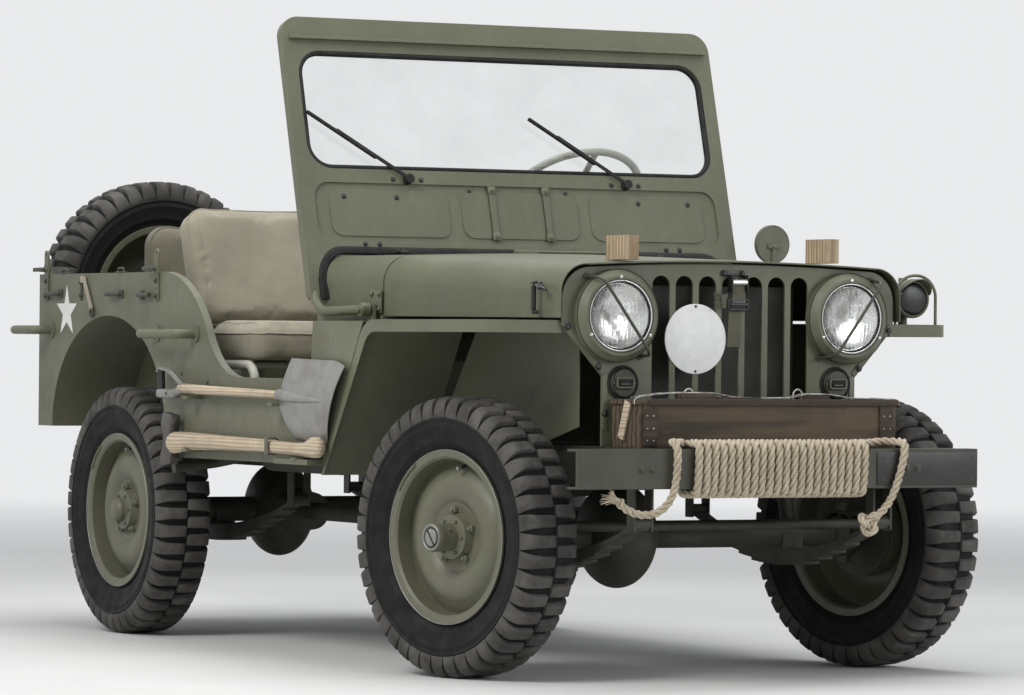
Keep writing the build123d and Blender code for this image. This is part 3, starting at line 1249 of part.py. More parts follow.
def cord(points):
    """Round cord along straight runs joined by tangent arcs."""
    radii = radii_for(points)
    with BuildPart() as rope:
        with BuildLine() as route:
            FilletPolyline(*points, radius=radii)
        with BuildSketch(route.line ^ 0):
            Circle(ROPE_D / 2)
        sweep()
    length = sum(edge.length for edge in route.edges())
    print("rope tail", round(length), "mm, radii", [round(r) for r in radii], "fill", end=" ")
    print(round(rope.part.volume / (length * 3.14159265 * ROPE_D**2 / 4), 4))
    return rope


# Rope tails: over the bumper's edge and hanging in front of it
rope_up = BUMPER_HIGH + ROPE_D / 2 + 1
rope_front = BUMPER_FACE_X + ROPE_D / 2 + 3
right_tail = (
    (1636, ROPE_RIGHT, rope_up + 3), (1636, ROPE_RIGHT - 22, rope_up + 3), (1651, ROPE_RIGHT - 34, rope_up + 5),
    (1672, ROPE_RIGHT - 34, rope_up + 3), (rope_front + 6, ROPE_RIGHT - 33, rope_up - 20),
    (rope_front + 3, ROPE_RIGHT - 33, rope_up - 60), (rope_front, ROPE_RIGHT - 36, rope_up - 105),
    (rope_front, ROPE_RIGHT - 52, rope_up - 145), (rope_front - 2, ROPE_RIGHT - 86, rope_up - 172),
    (rope_front - 6, ROPE_RIGHT - 128, rope_up - 176), (rope_front - 10, ROPE_RIGHT - 168, rope_up - 164),
    (rope_front - 12, ROPE_RIGHT - 196, rope_up - 140),
)
left_tail = (
    (1601, ROPE_LEFT, rope_up + 1), (1601, ROPE_LEFT + 24, rope_up + 1), (1602, ROPE_LEFT + 52, rope_up + 4),
    (1607, ROPE_LEFT + 78, rope_up + 6), (1628, ROPE_LEFT + 95, rope_up + 6), (1654, ROPE_LEFT + 99, rope_up + 6),
    (1675, ROPE_LEFT + 98, rope_up + 3), (rope_front + 6, ROPE_LEFT + 95, rope_up - 20),
    (rope_front + 4, ROPE_LEFT + 88, rope_up - 56), (rope_front + 2, ROPE_LEFT + 76, rope_up - 98),
    (rope_front, ROPE_LEFT + 60, rope_up - 138), (rope_front - 2, ROPE_LEFT + 34, rope_up - 172),
    (rope_front - 6, ROPE_LEFT + 4, rope_up - 192),
)
save(cord(right_tail), "rope_tail_right")
save(cord(left_tail), "rope_tail_left")
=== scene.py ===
import bpy
from math import ceil, cos, pi, radians, sin, tan
from mathutils import Matrix, Vector, noise
from mathutils.bvhtree import BVHTree


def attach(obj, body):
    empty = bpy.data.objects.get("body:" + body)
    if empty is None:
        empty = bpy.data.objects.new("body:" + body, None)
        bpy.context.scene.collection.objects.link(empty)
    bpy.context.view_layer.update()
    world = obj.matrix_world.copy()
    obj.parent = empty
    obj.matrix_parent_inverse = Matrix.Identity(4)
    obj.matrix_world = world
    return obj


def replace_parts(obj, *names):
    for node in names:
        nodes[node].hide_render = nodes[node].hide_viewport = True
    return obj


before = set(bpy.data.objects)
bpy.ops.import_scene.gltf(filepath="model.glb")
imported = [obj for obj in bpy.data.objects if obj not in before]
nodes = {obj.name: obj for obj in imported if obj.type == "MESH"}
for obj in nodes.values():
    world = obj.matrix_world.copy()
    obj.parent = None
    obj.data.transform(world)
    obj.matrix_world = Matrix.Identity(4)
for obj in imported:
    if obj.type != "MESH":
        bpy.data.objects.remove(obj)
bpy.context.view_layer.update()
scene = bpy.context.scene
MM = 0.001
FORE, REAR, UP = (1, 0, 0), (-1, 0, 0), (0, 0, 1)
BOTH = (-1, 1)


def axes(x, y, z, place):
    """Matrix with three directions and a place as its columns."""
    return Matrix((*zip(x, y, z, place), (0, 0, 0, 1)))


def linked(name, data):
    made = bpy.data.objects.new(name, data)
    scene.collection.objects.link(made)
    return made


# Camera at the photograph's place in the model frame
YAW, PITCH, ROLL = radians(151.928), radians(-0.013), radians(0.556)
EYE = (12.2583, -6.4193, 0.8412)
PHOTO_WIDTH, FOCAL_PX, SENSOR = 1024, 4947.45, 36.0
ahead = Vector((cos(YAW) * cos(PITCH), sin(YAW) * cos(PITCH), sin(PITCH)))
level = Vector((sin(YAW), -cos(YAW), 0))
upright = level.cross(ahead)
camera = linked("camera", bpy.data.cameras.new("camera"))
camera.data.sensor_width = SENSOR
camera.data.lens = FOCAL_PX / PHOTO_WIDTH * SENSOR
camera.data.clip_end = 200
camera.matrix_world = axes(
    level * cos(ROLL) + upright * sin(ROLL), upright * cos(ROLL) - level * sin(ROLL), -ahead, EYE
)
scene.camera = camera
scene.view_settings.view_transform = "Standard"


class Nodes:
    """Node tree with short ways to fill it."""

    def __init__(self, tree):
        self.tree = tree

    def put(self, socket, value):
        if isinstance(value, bpy.types.NodeSocket):
            self.tree.links.new(value, socket)
        else:
            socket.default_value = value

    def node(self, kind, inputs=None, **settings):
        made = self.tree.nodes.new(kind)
        for key, value in settings.items():
            setattr(made, key, value)
        for key, value in (inputs or {}).items():
            self.put(made.inputs[key], value)
        return made

    def calc(self, operation, first, second):
        return self.node("ShaderNodeMath", {0: first, 1: second}, operation=operation).outputs[0]


class Shader(Nodes):
    """One procedural material."""

    def __init__(self, name, rough, metal=0.0):
        self.material = bpy.data.materials.new(name)
        self.material.use_nodes = True
        super().__init__(self.material.node_tree)
        self.bsdf = self.tree.nodes["Principled BSDF"]
        self.fix("Roughness", rough)
        self.fix("Metallic", metal)
        self.place = self.node("ShaderNodeTexCoord").outputs["Object"]

    def fix(self, key, value):
        self.bsdf.inputs[key].default_value = value

    def set(self, key, value):
        self.put(self.bsdf.inputs[key], value)

    def stretched(self, scale):
        return self.node("ShaderNodeMapping", {"Vector": self.place, "Scale": scale}).outputs[0]

    def noise(self, scale, detail=5.0, rough=0.55, vector=None):
        inputs = {"Vector": vector or self.place, "Scale": scale, "Detail": detail, "Roughness": rough}
        return self.node("ShaderNodeTexNoise", inputs).outputs["Fac"]

    def wave(self, axis, scale, distortion, detail, detail_scale, vector=None):
        inputs = {"Vector": vector or self.place, "Scale": scale, "Distortion": distortion, "Detail": detail}
        inputs["Detail Scale"] = detail_scale
        return self.node("ShaderNodeTexWave", inputs, bands_direction=axis).outputs["Fac"]

    def remap(self, value, low, high, out_low=0.0, out_high=1.0):
        inputs = {"Value": value, "From Min": low, "From Max": high, "To Min": out_low, "To Max": out_high}
        return self.node("ShaderNodeMapRange", inputs).outputs[0]

    def mix(self, factor, first, second):
        inputs = {0: factor, 6: first, 7: second}
        return self.node("ShaderNodeMix", inputs, data_type="RGBA", blend_type="MIX").outputs[2]

    def bump(self, height, distance, strength=1.0, normal=None):
        inputs = {"Height": height, "Distance": distance, "Strength": strength}
        if normal is not None:
            inputs["Normal"] = normal
        return self.node("ShaderNodeBump", inputs).outputs[0]

    def rounded(self, radius):
        return self.node("ShaderNodeBevel", {"Radius": radius}, samples=4).outputs[0]

    def edge(self, round_normal, low=0.02, high=0.16):
        """Mask of the edges that a rounding bends."""
        flat = self.node("ShaderNodeNewGeometry").outputs["Normal"]
        dot = self.node("ShaderNodeVectorMath", {0: round_normal, 1: flat}, operation="DOT_PRODUCT")
        return self.remap(self.calc("SUBTRACT", 1.0, dot.outputs["Value"]), low, high)

    def height(self):
        return self.node("ShaderNodeSeparateXYZ", {0: self.place}).outputs["Z"]


def rgb(r, g, b):
    return (r, g, b, 1.0)


def shade(colour, factor):
    return rgb(*(min(1.0, channel * factor) for channel in colour[:3]))


def painted(name, colour, rough, wear_and_highlight=0.5, dust=0.4, dirt_top=0.75):
    """Sprayed service paint: faded patches, orange peel, dust low down, and rubbed edges lightened partly for
    worn paint and partly as painted highlight.
    """
    s = Shader(name, rough)
    patches = s.remap(s.noise(2.6, 3), 0.32, 0.7)
    mottle = s.noise(46, 6, 0.62)
    base = s.mix(patches, shade(colour, 0.84), shade(colour, 1.16))
    base = s.mix(s.remap(mottle, 0.35, 0.7, 0, 0.35), base, shade(colour, 0.72))
    streaks = s.noise(1, 4, 0.6, s.stretched((26, 26, 3.2)))
    base = s.mix(s.remap(streaks, 0.52, 0.78, 0, 0.22), base, shade(colour, 1.5))
    low = s.remap(s.height(), 0.25, dirt_top, 1, 0)
    grime = s.calc("MULTIPLY", low, s.remap(s.noise(9, 8, 0.66), 0.3, 0.75))
    base = s.mix(s.calc("MULTIPLY", grime, dust), base, rgb(0.16, 0.145, 0.12))
    round_normal = s.rounded(0.0022)
    # Rounded edges lightened, partly as rubbed paint and partly as painted highlight.
    edge_wear_and_highlight = s.calc("MULTIPLY", s.edge(round_normal), s.remap(s.noise(30, 6, 0.7), 0.38, 0.66))
    base = s.mix(s.calc("MULTIPLY", edge_wear_and_highlight, wear_and_highlight), base, shade(colour, 2.3))
    s.set("Base Color", base)
    s.set("Roughness", s.remap(s.noise(14, 5), 0.3, 0.7, rough - 0.09, rough + 0.11))
    peel = s.bump(s.noise(420, 3), 0.00025, 0.5, round_normal)
    s.set("Normal", s.bump(s.noise(5.5, 3), 0.006, 0.35, peel))
    return s.material


def bare_metal(name, colour, rough, stain, bump=0.0006, scale=40):
    """Worn steel with darker stains and fine scratches."""
    s = Shader(name, rough, 0.85)
    spots = s.remap(s.noise(scale, 7, 0.65), 0.42, 0.66)
    s.set("Base Color", s.mix(spots, colour, stain))
    s.set("Metallic", s.remap(spots, 0, 1, 0.9, 0.35))
    s.set("Roughness", s.remap(s.noise(scale * 2.2, 5), 0.3, 0.7, rough - 0.08, rough + 0.18))
    s.set("Normal", s.bump(s.noise(scale * 4, 5, 0.7), bump, 0.7, s.rounded(0.0015)))
    return s.material


def rubber_like(name, colour, dust):
    """Moulded rubber: fine pebble, dust in patches, and edges lightened partly for scuffing and partly as
    painted highlight.
    """
    s = Shader(name, 0.72)
    s.fix("Specular IOR Level", 0.3)
    round_normal = s.rounded(0.0015)
    base = s.mix(s.remap(s.noise(18, 6, 0.6), 0.35, 0.7), shade(colour, 0.75), shade(colour, 1.35))
    dusty = s.calc("MULTIPLY", s.remap(s.noise(7, 8, 0.68), 0.45, 0.72), dust)
    base = s.mix(dusty, base, rgb(0.17, 0.16, 0.145))
    # Edges lightened, partly as scuffs and partly as painted highlight.
    base = s.mix(s.calc("MULTIPLY", s.edge(round_normal, 0.03, 0.2), 0.35), base, shade(colour, 3.2))
    s.set("Base Color", base)
    s.set("Roughness", s.remap(s.noise(25, 4), 0.3, 0.7, 0.6, 0.86))
    s.set("Normal", s.bump(s.noise(260, 4, 0.6), 0.0005, 0.6, round_normal))
    return s.material


def canvas_like(name, colour, weave=900):
    """Woven cotton duck: crossed threads, faded folds and stains."""
    s = Shader(name, 0.92)
    s.fix("Sheen Weight", 0.18)
    s.fix("Sheen Roughness", 0.5)
    warp, weft, rise = (s.wave(axis, weave / 6.28, 1.2, 2, 1.5) for axis in "XYZ")
    threads = s.calc("MULTIPLY", s.calc("ADD", s.calc("ADD", warp, weft), rise), 0.33)
    base = s.mix(s.remap(s.noise(4.2, 5, 0.6), 0.32, 0.7), shade(colour, 0.78), shade(colour, 1.12))
    base = s.mix(s.remap(s.noise(16, 7, 0.66), 0.5, 0.75, 0, 0.4), base, shade(colour, 0.62))
    base = s.mix(s.remap(threads, 0.2, 0.8, 0.3, 0), base, shade(colour, 0.6))
    s.set("Base Color", base)
    crumple = s.bump(s.noise(9, 6, 0.6), 0.012, 0.35)
    s.set("Normal", s.bump(threads, 0.0006, 0.5, crumple))
    return s.material


def wooden(name, light, dark, along, scale=1.0):
    """Weathered timber with grain running along one axis."""
    s = Shader(name, 0.74)
    squeeze = [11.0 * scale] * 3
    squeeze["XYZ".index(along)] = 0.9 * scale
    grain = s.noise(4.5, 8, 0.66, s.stretched(squeeze))
    across = "Z" if along == "X" else "X"
    rings = s.wave(across, 2.2, 5.5, 4, 1.4, s.stretched([v * 0.6 for v in squeeze]))
    both = s.calc("ADD", s.calc("MULTIPLY", grain, 0.62), s.calc("MULTIPLY", rings, 0.38))
    base = s.mix(s.remap(both, 0.3, 0.68), dark, light)
    base = s.mix(s.remap(s.noise(6, 6, 0.7), 0.5, 0.78, 0, 0.55), base, shade(dark, 0.6))
    s.set("Base Color", base)
    s.set("Roughness", s.remap(grain, 0.3, 0.7, 0.62, 0.86))
    s.set("Normal", s.bump(both, 0.0016, 0.7, s.rounded(0.002)))
    return s.material


def clear_glass(name, rough, tint, bump_scale=0, ribs=0.0):
    """Smeared glass, with flutes this far apart if it has ribs."""
    s = Shader(name, rough)
    s.fix("Transmission Weight", 1.0)
    s.fix("IOR", 1.45)
    smear = s.remap(s.noise(7, 6, 0.6), 0.35, 0.75)
    s.set("Base Color", s.mix(smear, tint, shade(tint, 0.9)))
    s.set("Roughness", s.remap(smear, 0, 1, rough, rough + 0.05))
    if ribs:
        wavy = s.bump(s.noise(bump_scale, 2), 0.0003, 0.2)
        s.set("Normal", s.bump(s.wave("Y", 6.283 / (20 * ribs), 0, 2, 1), 0.0006, 0.6, wavy))
    return s.material


OLIVE = rgb(0.125, 0.13, 0.083)
paint = painted("service_paint", OLIVE, 0.5)
# Darker copy of the olive paint: painted shade on the bumper and the fittings that use it.
shaded_paint = painted("shaded_olive_paint", shade(OLIVE, 0.36), 0.52, 0.6, 0.3)
chassis_paint = painted("chassis_paint", shade(OLIVE, 0.2), 0.62, 0.35, 0.45, 0.6)
wheel_paint = painted("wheel_paint", shade(OLIVE, 0.95), 0.46, 0.5, 0.5, 0.8)
hand_paint = painted("hand_wheel_paint", rgb(0.55, 0.55, 0.48), 0.4, 0.2, 0.0)
white_paint = painted("white_paint", rgb(0.88, 0.88, 0.86), 0.5, 0.1, 0.0)
black_paint = painted("black_paint", rgb(0.015, 0.015, 0.014), 0.38, 0.8, 0.2)
steel = bare_metal("worn_steel", rgb(0.45, 0.44, 0.42), 0.4, rgb(0.09, 0.075, 0.06))
tread_rubber = rubber_like("tread_rubber", rgb(0.052, 0.05, 0.046), 0.75)
wall_rubber = rubber_like("wall_rubber", rgb(0.005, 0.005, 0.005), 0.02)
soft_rubber = rubber_like("soft_rubber", rgb(0.016, 0.016, 0.016), 0.12)
canvas = canvas_like("seat_canvas", rgb(0.34, 0.31, 0.235))
# Darker copy of the seat canvas: painted shade on the rear bench pads.
shaded_bench_canvas = canvas_like("shaded_bench_canvas", rgb(0.2, 0.185, 0.135))
webbing = canvas_like("webbing", rgb(0.12, 0.115, 0.08), 1500)
block_wood = wooden("block_wood", rgb(0.5, 0.4, 0.27), rgb(0.27, 0.19, 0.11), "Z", 1.6)
box_wood = wooden("box_wood", rgb(0.11, 0.078, 0.048), rgb(0.03, 0.021, 0.013), "Y")
pale_wood = wooden("pale_wood", rgb(0.6, 0.51, 0.38), rgb(0.4, 0.31, 0.21), "X", 2.2)
screen_glass = clear_glass("screen_glass", 0.02, rgb(0.94, 0.96, 0.95))
lens_glass = clear_glass("lens_glass", 0.02, rgb(0.97, 0.98, 0.97), 20, 0.011)
bright_metal = bare_metal("plated_metal", rgb(0.8, 0.8, 0.79), 0.16, rgb(0.62, 0.61, 0.59), 0.00002, 14)
blade_steel = bare_metal("blade_steel", rgb(0.36, 0.355, 0.34), 0.36, rgb(0.2, 0.19, 0.17), 0.00006, 9)
dark_steel = bare_metal("dark_steel", rgb(0.13, 0.125, 0.12), 0.42, rgb(0.05, 0.045, 0.04), 0.00008, 14)
star_paint = painted("star_paint", rgb(0.78, 0.78, 0.75), 0.55, 0.1, 0.15)
red_lens = painted("red_lens", rgb(0.3, 0.012, 0.01), 0.2, 0.1, 0.1)
dial_face = painted("dial_face", rgb(0.02, 0.02, 0.02), 0.3, 0.1, 0.0)

looks = (
    (
        paint, "tub cowl hood fender_left fender_right grille windscreen_frame dashboard bow_brackets "
        "grab_handles headlights blackout_lamp steering_column mirror"
    ),
    (shaded_paint, "bumper_front bumperettes tow_hitch lamp_guards parking_lamps levers pedals"),
    (
        chassis_paint, "frame leaf_springs axle_front axle_rear knuckle_left knuckle_right tie_rod dampers "
        "exhaust gearbox engine propeller_shafts radiator"
    ),
    (wheel_paint, "wheel_front_left wheel_front_right wheel_rear_left wheel_rear_right wheel_spare"),
    (soft_rubber, "wipers"),
    (screen_glass, "windscreen_glass"),
    (lens_glass, "headlight_glass"),
    (block_wood, "rest_blocks"),
    (box_wood, "stowage_box"),
    (hand_paint, "steering_wheel seat_frames bench_frame"),
    (white_paint, "sign_plate"),
)
for material, names in looks:
    for name in names.split():
        nodes[name].data.materials.clear()
        nodes[name].data.materials.append(material)


def around(count):
    """Evenly spaced angles of a full turn."""
    return [2 * pi * k / count for k in range(count)]


class Solid:
    """Mesh gathered from several shapes, in millimetres, made into one object in metres."""

    def __init__(self, points=(), faces=()):
        self.points, self.faces, self.slots = [], [], []
        self.add(points, faces)

    def add(self, points, faces, slot=0):
        first = len(self.points)
        self.points.extend(Vector(p) for p in points)
        self.faces.extend(tuple(first + i for i in face) for face in faces)
        self.slots.extend([slot] * len(faces))

    def place(self, matrix):
        self.points = [matrix @ p for p in self.points]
        return self

    def merge(self, *others, at=Matrix.Identity(4), slot=None):
        for other in others:
            first = len(self.points)
            self.points.extend(at @ p for p in other.points)
            self.faces.extend(tuple(first + i for i in face) for face in other.faces)
            self.slots.extend(other.slots if slot is None else [slot] * len(other.faces))
        return self

    def mesh(self, name):
        made = bpy.data.meshes.new(name)
        made.from_pydata([p * MM for p in self.points], [], self.faces)
        return made

    def build(self, name, *materials, body="car", slot="paint", sharp=35):
        mesh = self.mesh(name)
        for index, polygon in enumerate(mesh.polygons):
            polygon.material_index = self.slots[index]
            polygon.use_smooth = True
        mesh.set_sharp_from_angle(angle=radians(sharp))
        mesh.update()
        return fitted(name, mesh, materials, body)


def fitted(name, mesh, materials, body):
    """Piece of the part, riding on a body."""
    for material in materials:
        mesh.materials.append(material)
    piece = linked(name, mesh)
    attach(piece, body)
    return piece


def strip(rings, closed_path=False):
    """Skin over a row of closed rings with equal point counts, with its ends capped."""
    count = len(rings[0])
    points = [p for ring in rings for p in ring]
    faces = []
    rows = len(rings) if closed_path else len(rings) - 1
    for row in range(rows):
        here, there = row * count, ((row + 1) % len(rings)) * count
        for k in range(count):
            other = (k + 1) % count
            faces.append((here + k, here + other, there + other, there + k))
    if not closed_path:
        faces.append(tuple(reversed(range(count))))
        faces.append(tuple(range((len(rings) - 1) * count, len(rings) * count)))
    return points, faces


def frames_along(points, closed=False):
    """Tangent and a steady normal at each point of a line."""
    tangents = []
    for i in range(len(points)):
        before = points[i - 1] if (closed or i > 0) else points[i]
        after = points[(i + 1) % len(points)] if (closed or i < len(points) - 1) else points[i]
        tangents.append((after - before).normalized())
    start = Vector(UP) if abs(tangents[0].z) < 0.9 else Vector(FORE)
    normal = (start - tangents[0] * start.dot(tangents[0])).normalized()
    normals = [normal]
    for a, b in zip(tangents, tangents[1:]):
        normal = a.rotation_difference(b) @ normal
        normal = (normal - b * normal.dot(b)).normalized()
        normals.append(normal)
    return tangents, normals


def bent(points, radius, steps=6):
    """Straight runs with their corners rounded, for rigid bars and straps."""
    points = [Vector(p) for p in points]
    line = [points[0]]
    for before, corner, after in zip(points, points[1:], points[2:]):
        reach = min(radius, (corner - before).length * 0.49, (after - corner).length * 0.49)
        a = corner + (before - corner).normalized() * reach
        b = corner + (after - corner).normalized() * reach
        for k in range(steps + 1):
            t = k / steps
            line.append(a * (1 - t) ** 2 + corner * 2 * t * (1 - t) + b * t**2)
    line.append(points[-1])
    return line


def pipe(points, radius, sides=10, closed=False, flat=1.0):
    """Round or flattened bar along a line; radius may be one number or one for each point."""
    points = [Vector(p) for p in points]
    radii = radius if isinstance(radius, list) else [radius] * len(points)
    rings = []
    for point, r, tangent, normal in zip(points, radii, *frames_along(points, closed)):
        other = tangent.cross(normal)
        rings.append([point + normal * (cos(a) * r) + other * (sin(a) * r * flat) for a in around(sides)])
    return Solid(*strip(rings, closed))


def turned(profile, sides=32, closed=False):
    """Solid of revolution about local Z from (radius, z) pairs."""
    rings = [[Vector((r * cos(a), r * sin(a), z)) for a in around(sides)] for r, z in profile]
    return Solid(*strip(rings, closed))


def facing(point, direction):
    """Matrix that puts local Z along a direction at a point."""
    z = Vector(direction).normalized()
    guide = Vector(FORE if abs(z.z) > 0.95 else UP)
    x = guide.cross(z).normalized()
    return axes(x, z.cross(x), z, point)


def soft_block(size, radius, steps=3):
    """Box with rounded edges about the origin, size in X, Y and Z."""
    half = [v / 2 for v in size]
    radius = min(radius, *half)
    marks = []
    for h in half:
        ends = [-h + radius * (1 - cos(pi / 2 * k / steps)) for k in range(steps + 1)]
        marks.append(ends + [-v for v in reversed(ends)])
    points, faces, index = [], [], {}

    def corner(*key):
        if key not in index:
            p = Vector(marks[axis][i] for axis, i in enumerate(key))
            core = Vector(max(-(h - radius), min(h - radius, c)) for h, c in zip(half, p))
            away = p - core
            if away.length > 1e-9:
                p = core + away.normalized() * radius
            index[key] = len(points)
            points.append(p)
        return index[key]

    n = len(marks[0]) - 1
    for a in range(n):
        for b in range(n):
            c, d = a + 1, b + 1
            faces.append((corner(a, b, 0), corner(a, d, 0), corner(c, d, 0), corner(c, b, 0)))
            faces.append((corner(a, b, n), corner(c, b, n), corner(c, d, n), corner(a, d, n)))
            faces.append((corner(a, 0, b), corner(c, 0, b), corner(c, 0, d), corner(a, 0, d)))
            faces.append((corner(a, n, b), corner(a, n, d), corner(c, n, d), corner(c, n, b)))
            faces.append((corner(0, a, b), corner(0, a, d), corner(0, c, d), corner(0, c, b)))
            faces.append((corner(n, a, b), corner(n, c, b), corner(n, c, d), corner(n, a, d)))
    return Solid(points, faces)


def bolt(where, direction, radius=6.0, height=6.0, washer=True):
    """Hexagon head on a washer, standing on a surface."""
    made = Solid()
    if washer:
        rim = [(0.01, -0.5), (radius * 1.6, -0.5), (radius * 1.6, 0.9), (radius * 1.45, 1.4), (0.01, 1.4)]
        made.merge(turned(rim, 20))
    head = [(0.01, 0.5), (radius, 0.5), (radius, height - 1), (radius * 0.8, height), (0.01, height)]
    return made.merge(turned(head, 6)).place(facing(where, direction))


def rivet(where, direction, radius=5.0, height=2.6):
    """Low domed head."""
    dome = [(radius * share, height * rise) for share, rise in ((0.94, 0.45), (0.72, 0.8), (0.38, 0.97))]
    profile = [(0.01, -0.5), (radius, -0.5), *dome, (0.01, height)]
    return turned(profile, 16).place(facing(where, direction))


def ring(where, direction, radius, wire, sides=64, across=10):
    """Round ring of wire about a direction."""
    place = facing(where, direction)
    line = [place @ Vector((radius * cos(a), radius * sin(a), 0)) for a in around(sides)]
    return pipe(line, wire, across, True)


def slab(size, radius, where, x_way=FORE, y_way=(0, 1, 0)):
    """Rounded block set with its own X and Y directions."""
    x = Vector(x_way).normalized()
    z = x.cross(Vector(y_way)).normalized()
    return soft_block(size, radius).place(axes(x, z.cross(x), z, where))


def round_rectangle(half_x, half_y, corner, steps=8, z=0.0):
    """Points round a rectangle with round corners, at one height."""
    return [
        Vector((cx * (half_x - corner) + corner * cos(a), cy * (half_y - corner) + corner * sin(a), z))
        for quarter, (cx, cy) in enumerate(((1, 1), (-1, 1), (-1, -1), (1, -1)))
        for a in (pi / 2 * (quarter + k / steps) for k in range(steps + 1))
    ]


def outline_pipe(matrix, half_x, half_y, corner, wire, steps=8, sides=10, flat=1.0):
    """Rounded rectangle of tube in a plane."""
    line = [matrix @ p for p in round_rectangle(half_x, half_y, corner, steps)]
    return pipe(line, wire, sides, True, flat)


# Rope: one length wound on the bumper with both tails, its route as in the CAD source
ROPE_D, ROPE_LAY = 22, 66
ROPE_RIGHT, ROPE_LEFT = -277, 257
TURNS = 23
BUMPER_FACE_X, BUMPER_DEPTH, BUMPER_LOW, BUMPER_HIGH = 1660, 50, 492, 591
rope_up = BUMPER_HIGH + ROPE_D / 2 + 1
rope_front = BUMPER_FACE_X + ROPE_D / 2 + 3
right_tail = [
    # x, then y from the coil's right end and z from its top
    (1636, 0, 3), (1636, -22, 3), (1651, -34, 5), (1672, -34, 3), (rope_front + 6, -33, -20),
    (rope_front + 3, -33, -60), (rope_front, -36, -105), (rope_front, -52, -145), (rope_front - 2, -86, -172),
    (rope_front - 6, -128, -176), (rope_front - 10, -168, -164), (rope_front - 12, -196, -140),
]
left_tail = [
    (1601, 0, 1), (1601, 24, 1), (1602, 52, 4), (1607, 78, 6), (1628, 95, 6), (1654, 99, 6), (1675, 98, 3),
    (rope_front + 6, 95, -20), (rope_front + 4, 88, -56), (rope_front + 2, 76, -98), (rope_front, 60, -138),
    (rope_front - 2, 34, -172), (rope_front - 6, 4, -192),
]
# One turn seen from the side: over the top towards the rear, down, under and up the front
near_x, far_x = BUMPER_FACE_X + ROPE_D / 2, BUMPER_FACE_X - BUMPER_DEPTH - ROPE_D / 2
over_z, under_z = BUMPER_HIGH + ROPE_D / 2, BUMPER_LOW - ROPE_D / 2
middle_z = (over_z + under_z) / 2
turn = [
    (1652, over_z + 3), (1635, over_z + 2), (1617, over_z + 3), (far_x + 3, over_z + 1),
    (far_x - 2, over_z - 9), (far_x - 2, over_z - 34), (far_x - 2, middle_z), (far_x - 2, under_z + 30),
    (far_x - 1, under_z + 7), (far_x + 6, under_z - 1), (1620, under_z - 2), (1640, under_z - 2),
    (near_x - 7, under_z - 1), (near_x + 1, under_z + 7), (near_x + 3, under_z + 32), (near_x + 3, middle_z),
    (near_x + 3, over_z - 32), (near_x + 2, over_z - 8), (near_x - 6, over_z + 3),
]
first_y, last_y = ROPE_RIGHT + ROPE_D / 2 + 1, ROPE_LEFT - ROPE_D / 2 - 1
steps_wound = (TURNS - 1) * len(turn) + 4
route = [(x, ROPE_RIGHT + y, rope_up + z) for x, y, z in reversed(right_tail)]
for step in range(2, steps_wound):
    x, z = turn[step % len(turn)]
    y = first_y + (last_y - first_y) * step / steps_wound
    loose = noise.noise(Vector((step // len(turn) * 1.7, z * 0.01, x * 0.01))) * 1.6
    if abs(z - middle_z) < 45:
        x += (1 if x > 1635 else -1) * max(0, loose)
    route.append((x, y + loose * 0.5, z))
route += [(x, ROPE_LEFT + y, rope_up + z) for x, y, z in left_tail]


def smooth_line(points, resolution):
    """Points of a smooth spline through a route, in millimetres."""
    curve = bpy.data.curves.new("route", "CURVE")
    curve.dimensions = "3D"
    spline = curve.splines.new("NURBS")
    spline.points.add(len(points) - 1)
    for target, point in zip(spline.points, points):
        target.co = (*(v * MM for v in point), 1)
    spline.order_u = 3
    spline.use_endpoint_u = True
    spline.resolution_u = curve.resolution_u = resolution
    holder = bpy.data.objects.new("route", curve)
    mesh = bpy.data.meshes.new_from_object(holder)
    line = [v.co / MM for v in mesh.vertices]
    bpy.data.objects.remove(holder)
    bpy.data.curves.remove(curve)
    bpy.data.meshes.remove(mesh)
    return line


STRAND_OFFSET, STRAND_RADIUS = 0.247, 0.262  # shares of the rope's diameter


def laid_strands(line, diameter, lay, sides=7):
    """Three strands twisted round a line of points, and the line's length."""
    rings, along = ([], [], []), 0.0
    for i, (point, tangent, normal) in enumerate(zip(line, *frames_along(line))):
        along += (line[i] - line[i - 1]).length if i else 0
        other = tangent.cross(normal)
        for k in range(3):
            angle = 2 * pi * (along / lay + k / 3)
            wobble = 1 + 0.05 * noise.noise(Vector((along * 0.03, k * 7.3, 0)))
            offset, r = diameter * STRAND_OFFSET * wobble, diameter * STRAND_RADIUS * wobble
            centre = point + normal * (cos(angle) * offset) + other * (sin(angle) * offset)
            angles = [angle + a for a in around(sides)]
            rings[k].append([centre + normal * (cos(a) * r) + other * (sin(a) * r) for a in angles])
    return Solid().merge(*(Solid(*strip(strand)) for strand in rings)), along


s = Shader("rope_fibre", 0.9)
s.fix("Sheen Weight", 0.25)
fibres = s.noise(1, 5, 0.7, s.stretched((330, 330, 330)))
tone = s.remap(s.noise(24, 5, 0.6), 0.3, 0.72)
tan_colour = s.mix(tone, rgb(0.52, 0.44, 0.31), rgb(0.72, 0.64, 0.49))
s.set("Base Color", s.mix(s.remap(fibres, 0.35, 0.7, 0, 0.5), tan_colour, rgb(0.28, 0.215, 0.135)))
s.set("Normal", s.bump(fibres, 0.0016, 0.9))
rope_fibre = s.material
rope_line = smooth_line(route, 4)
strands, rope_length = laid_strands(rope_line, ROPE_D, ROPE_LAY)
rope = strands.build("bumper_rope", rope_fibre, slot="rope", sharp=60)
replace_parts(rope, "rope_coil", "rope_tail_right", "rope_tail_left")

# Frayed right end under its whipping, and an overhand knot at the left end
HAIRS, GOLDEN_ANGLE = 46, 2.399
fray = Solid()
tip, inward = rope_line[0], (rope_line[0] - rope_line[6]).normalized()
side_a = inward.cross(Vector(FORE)).normalized()
side_b = inward.cross(side_a)


def scattered(k, step, count=HAIRS):
    return k * step % count / count


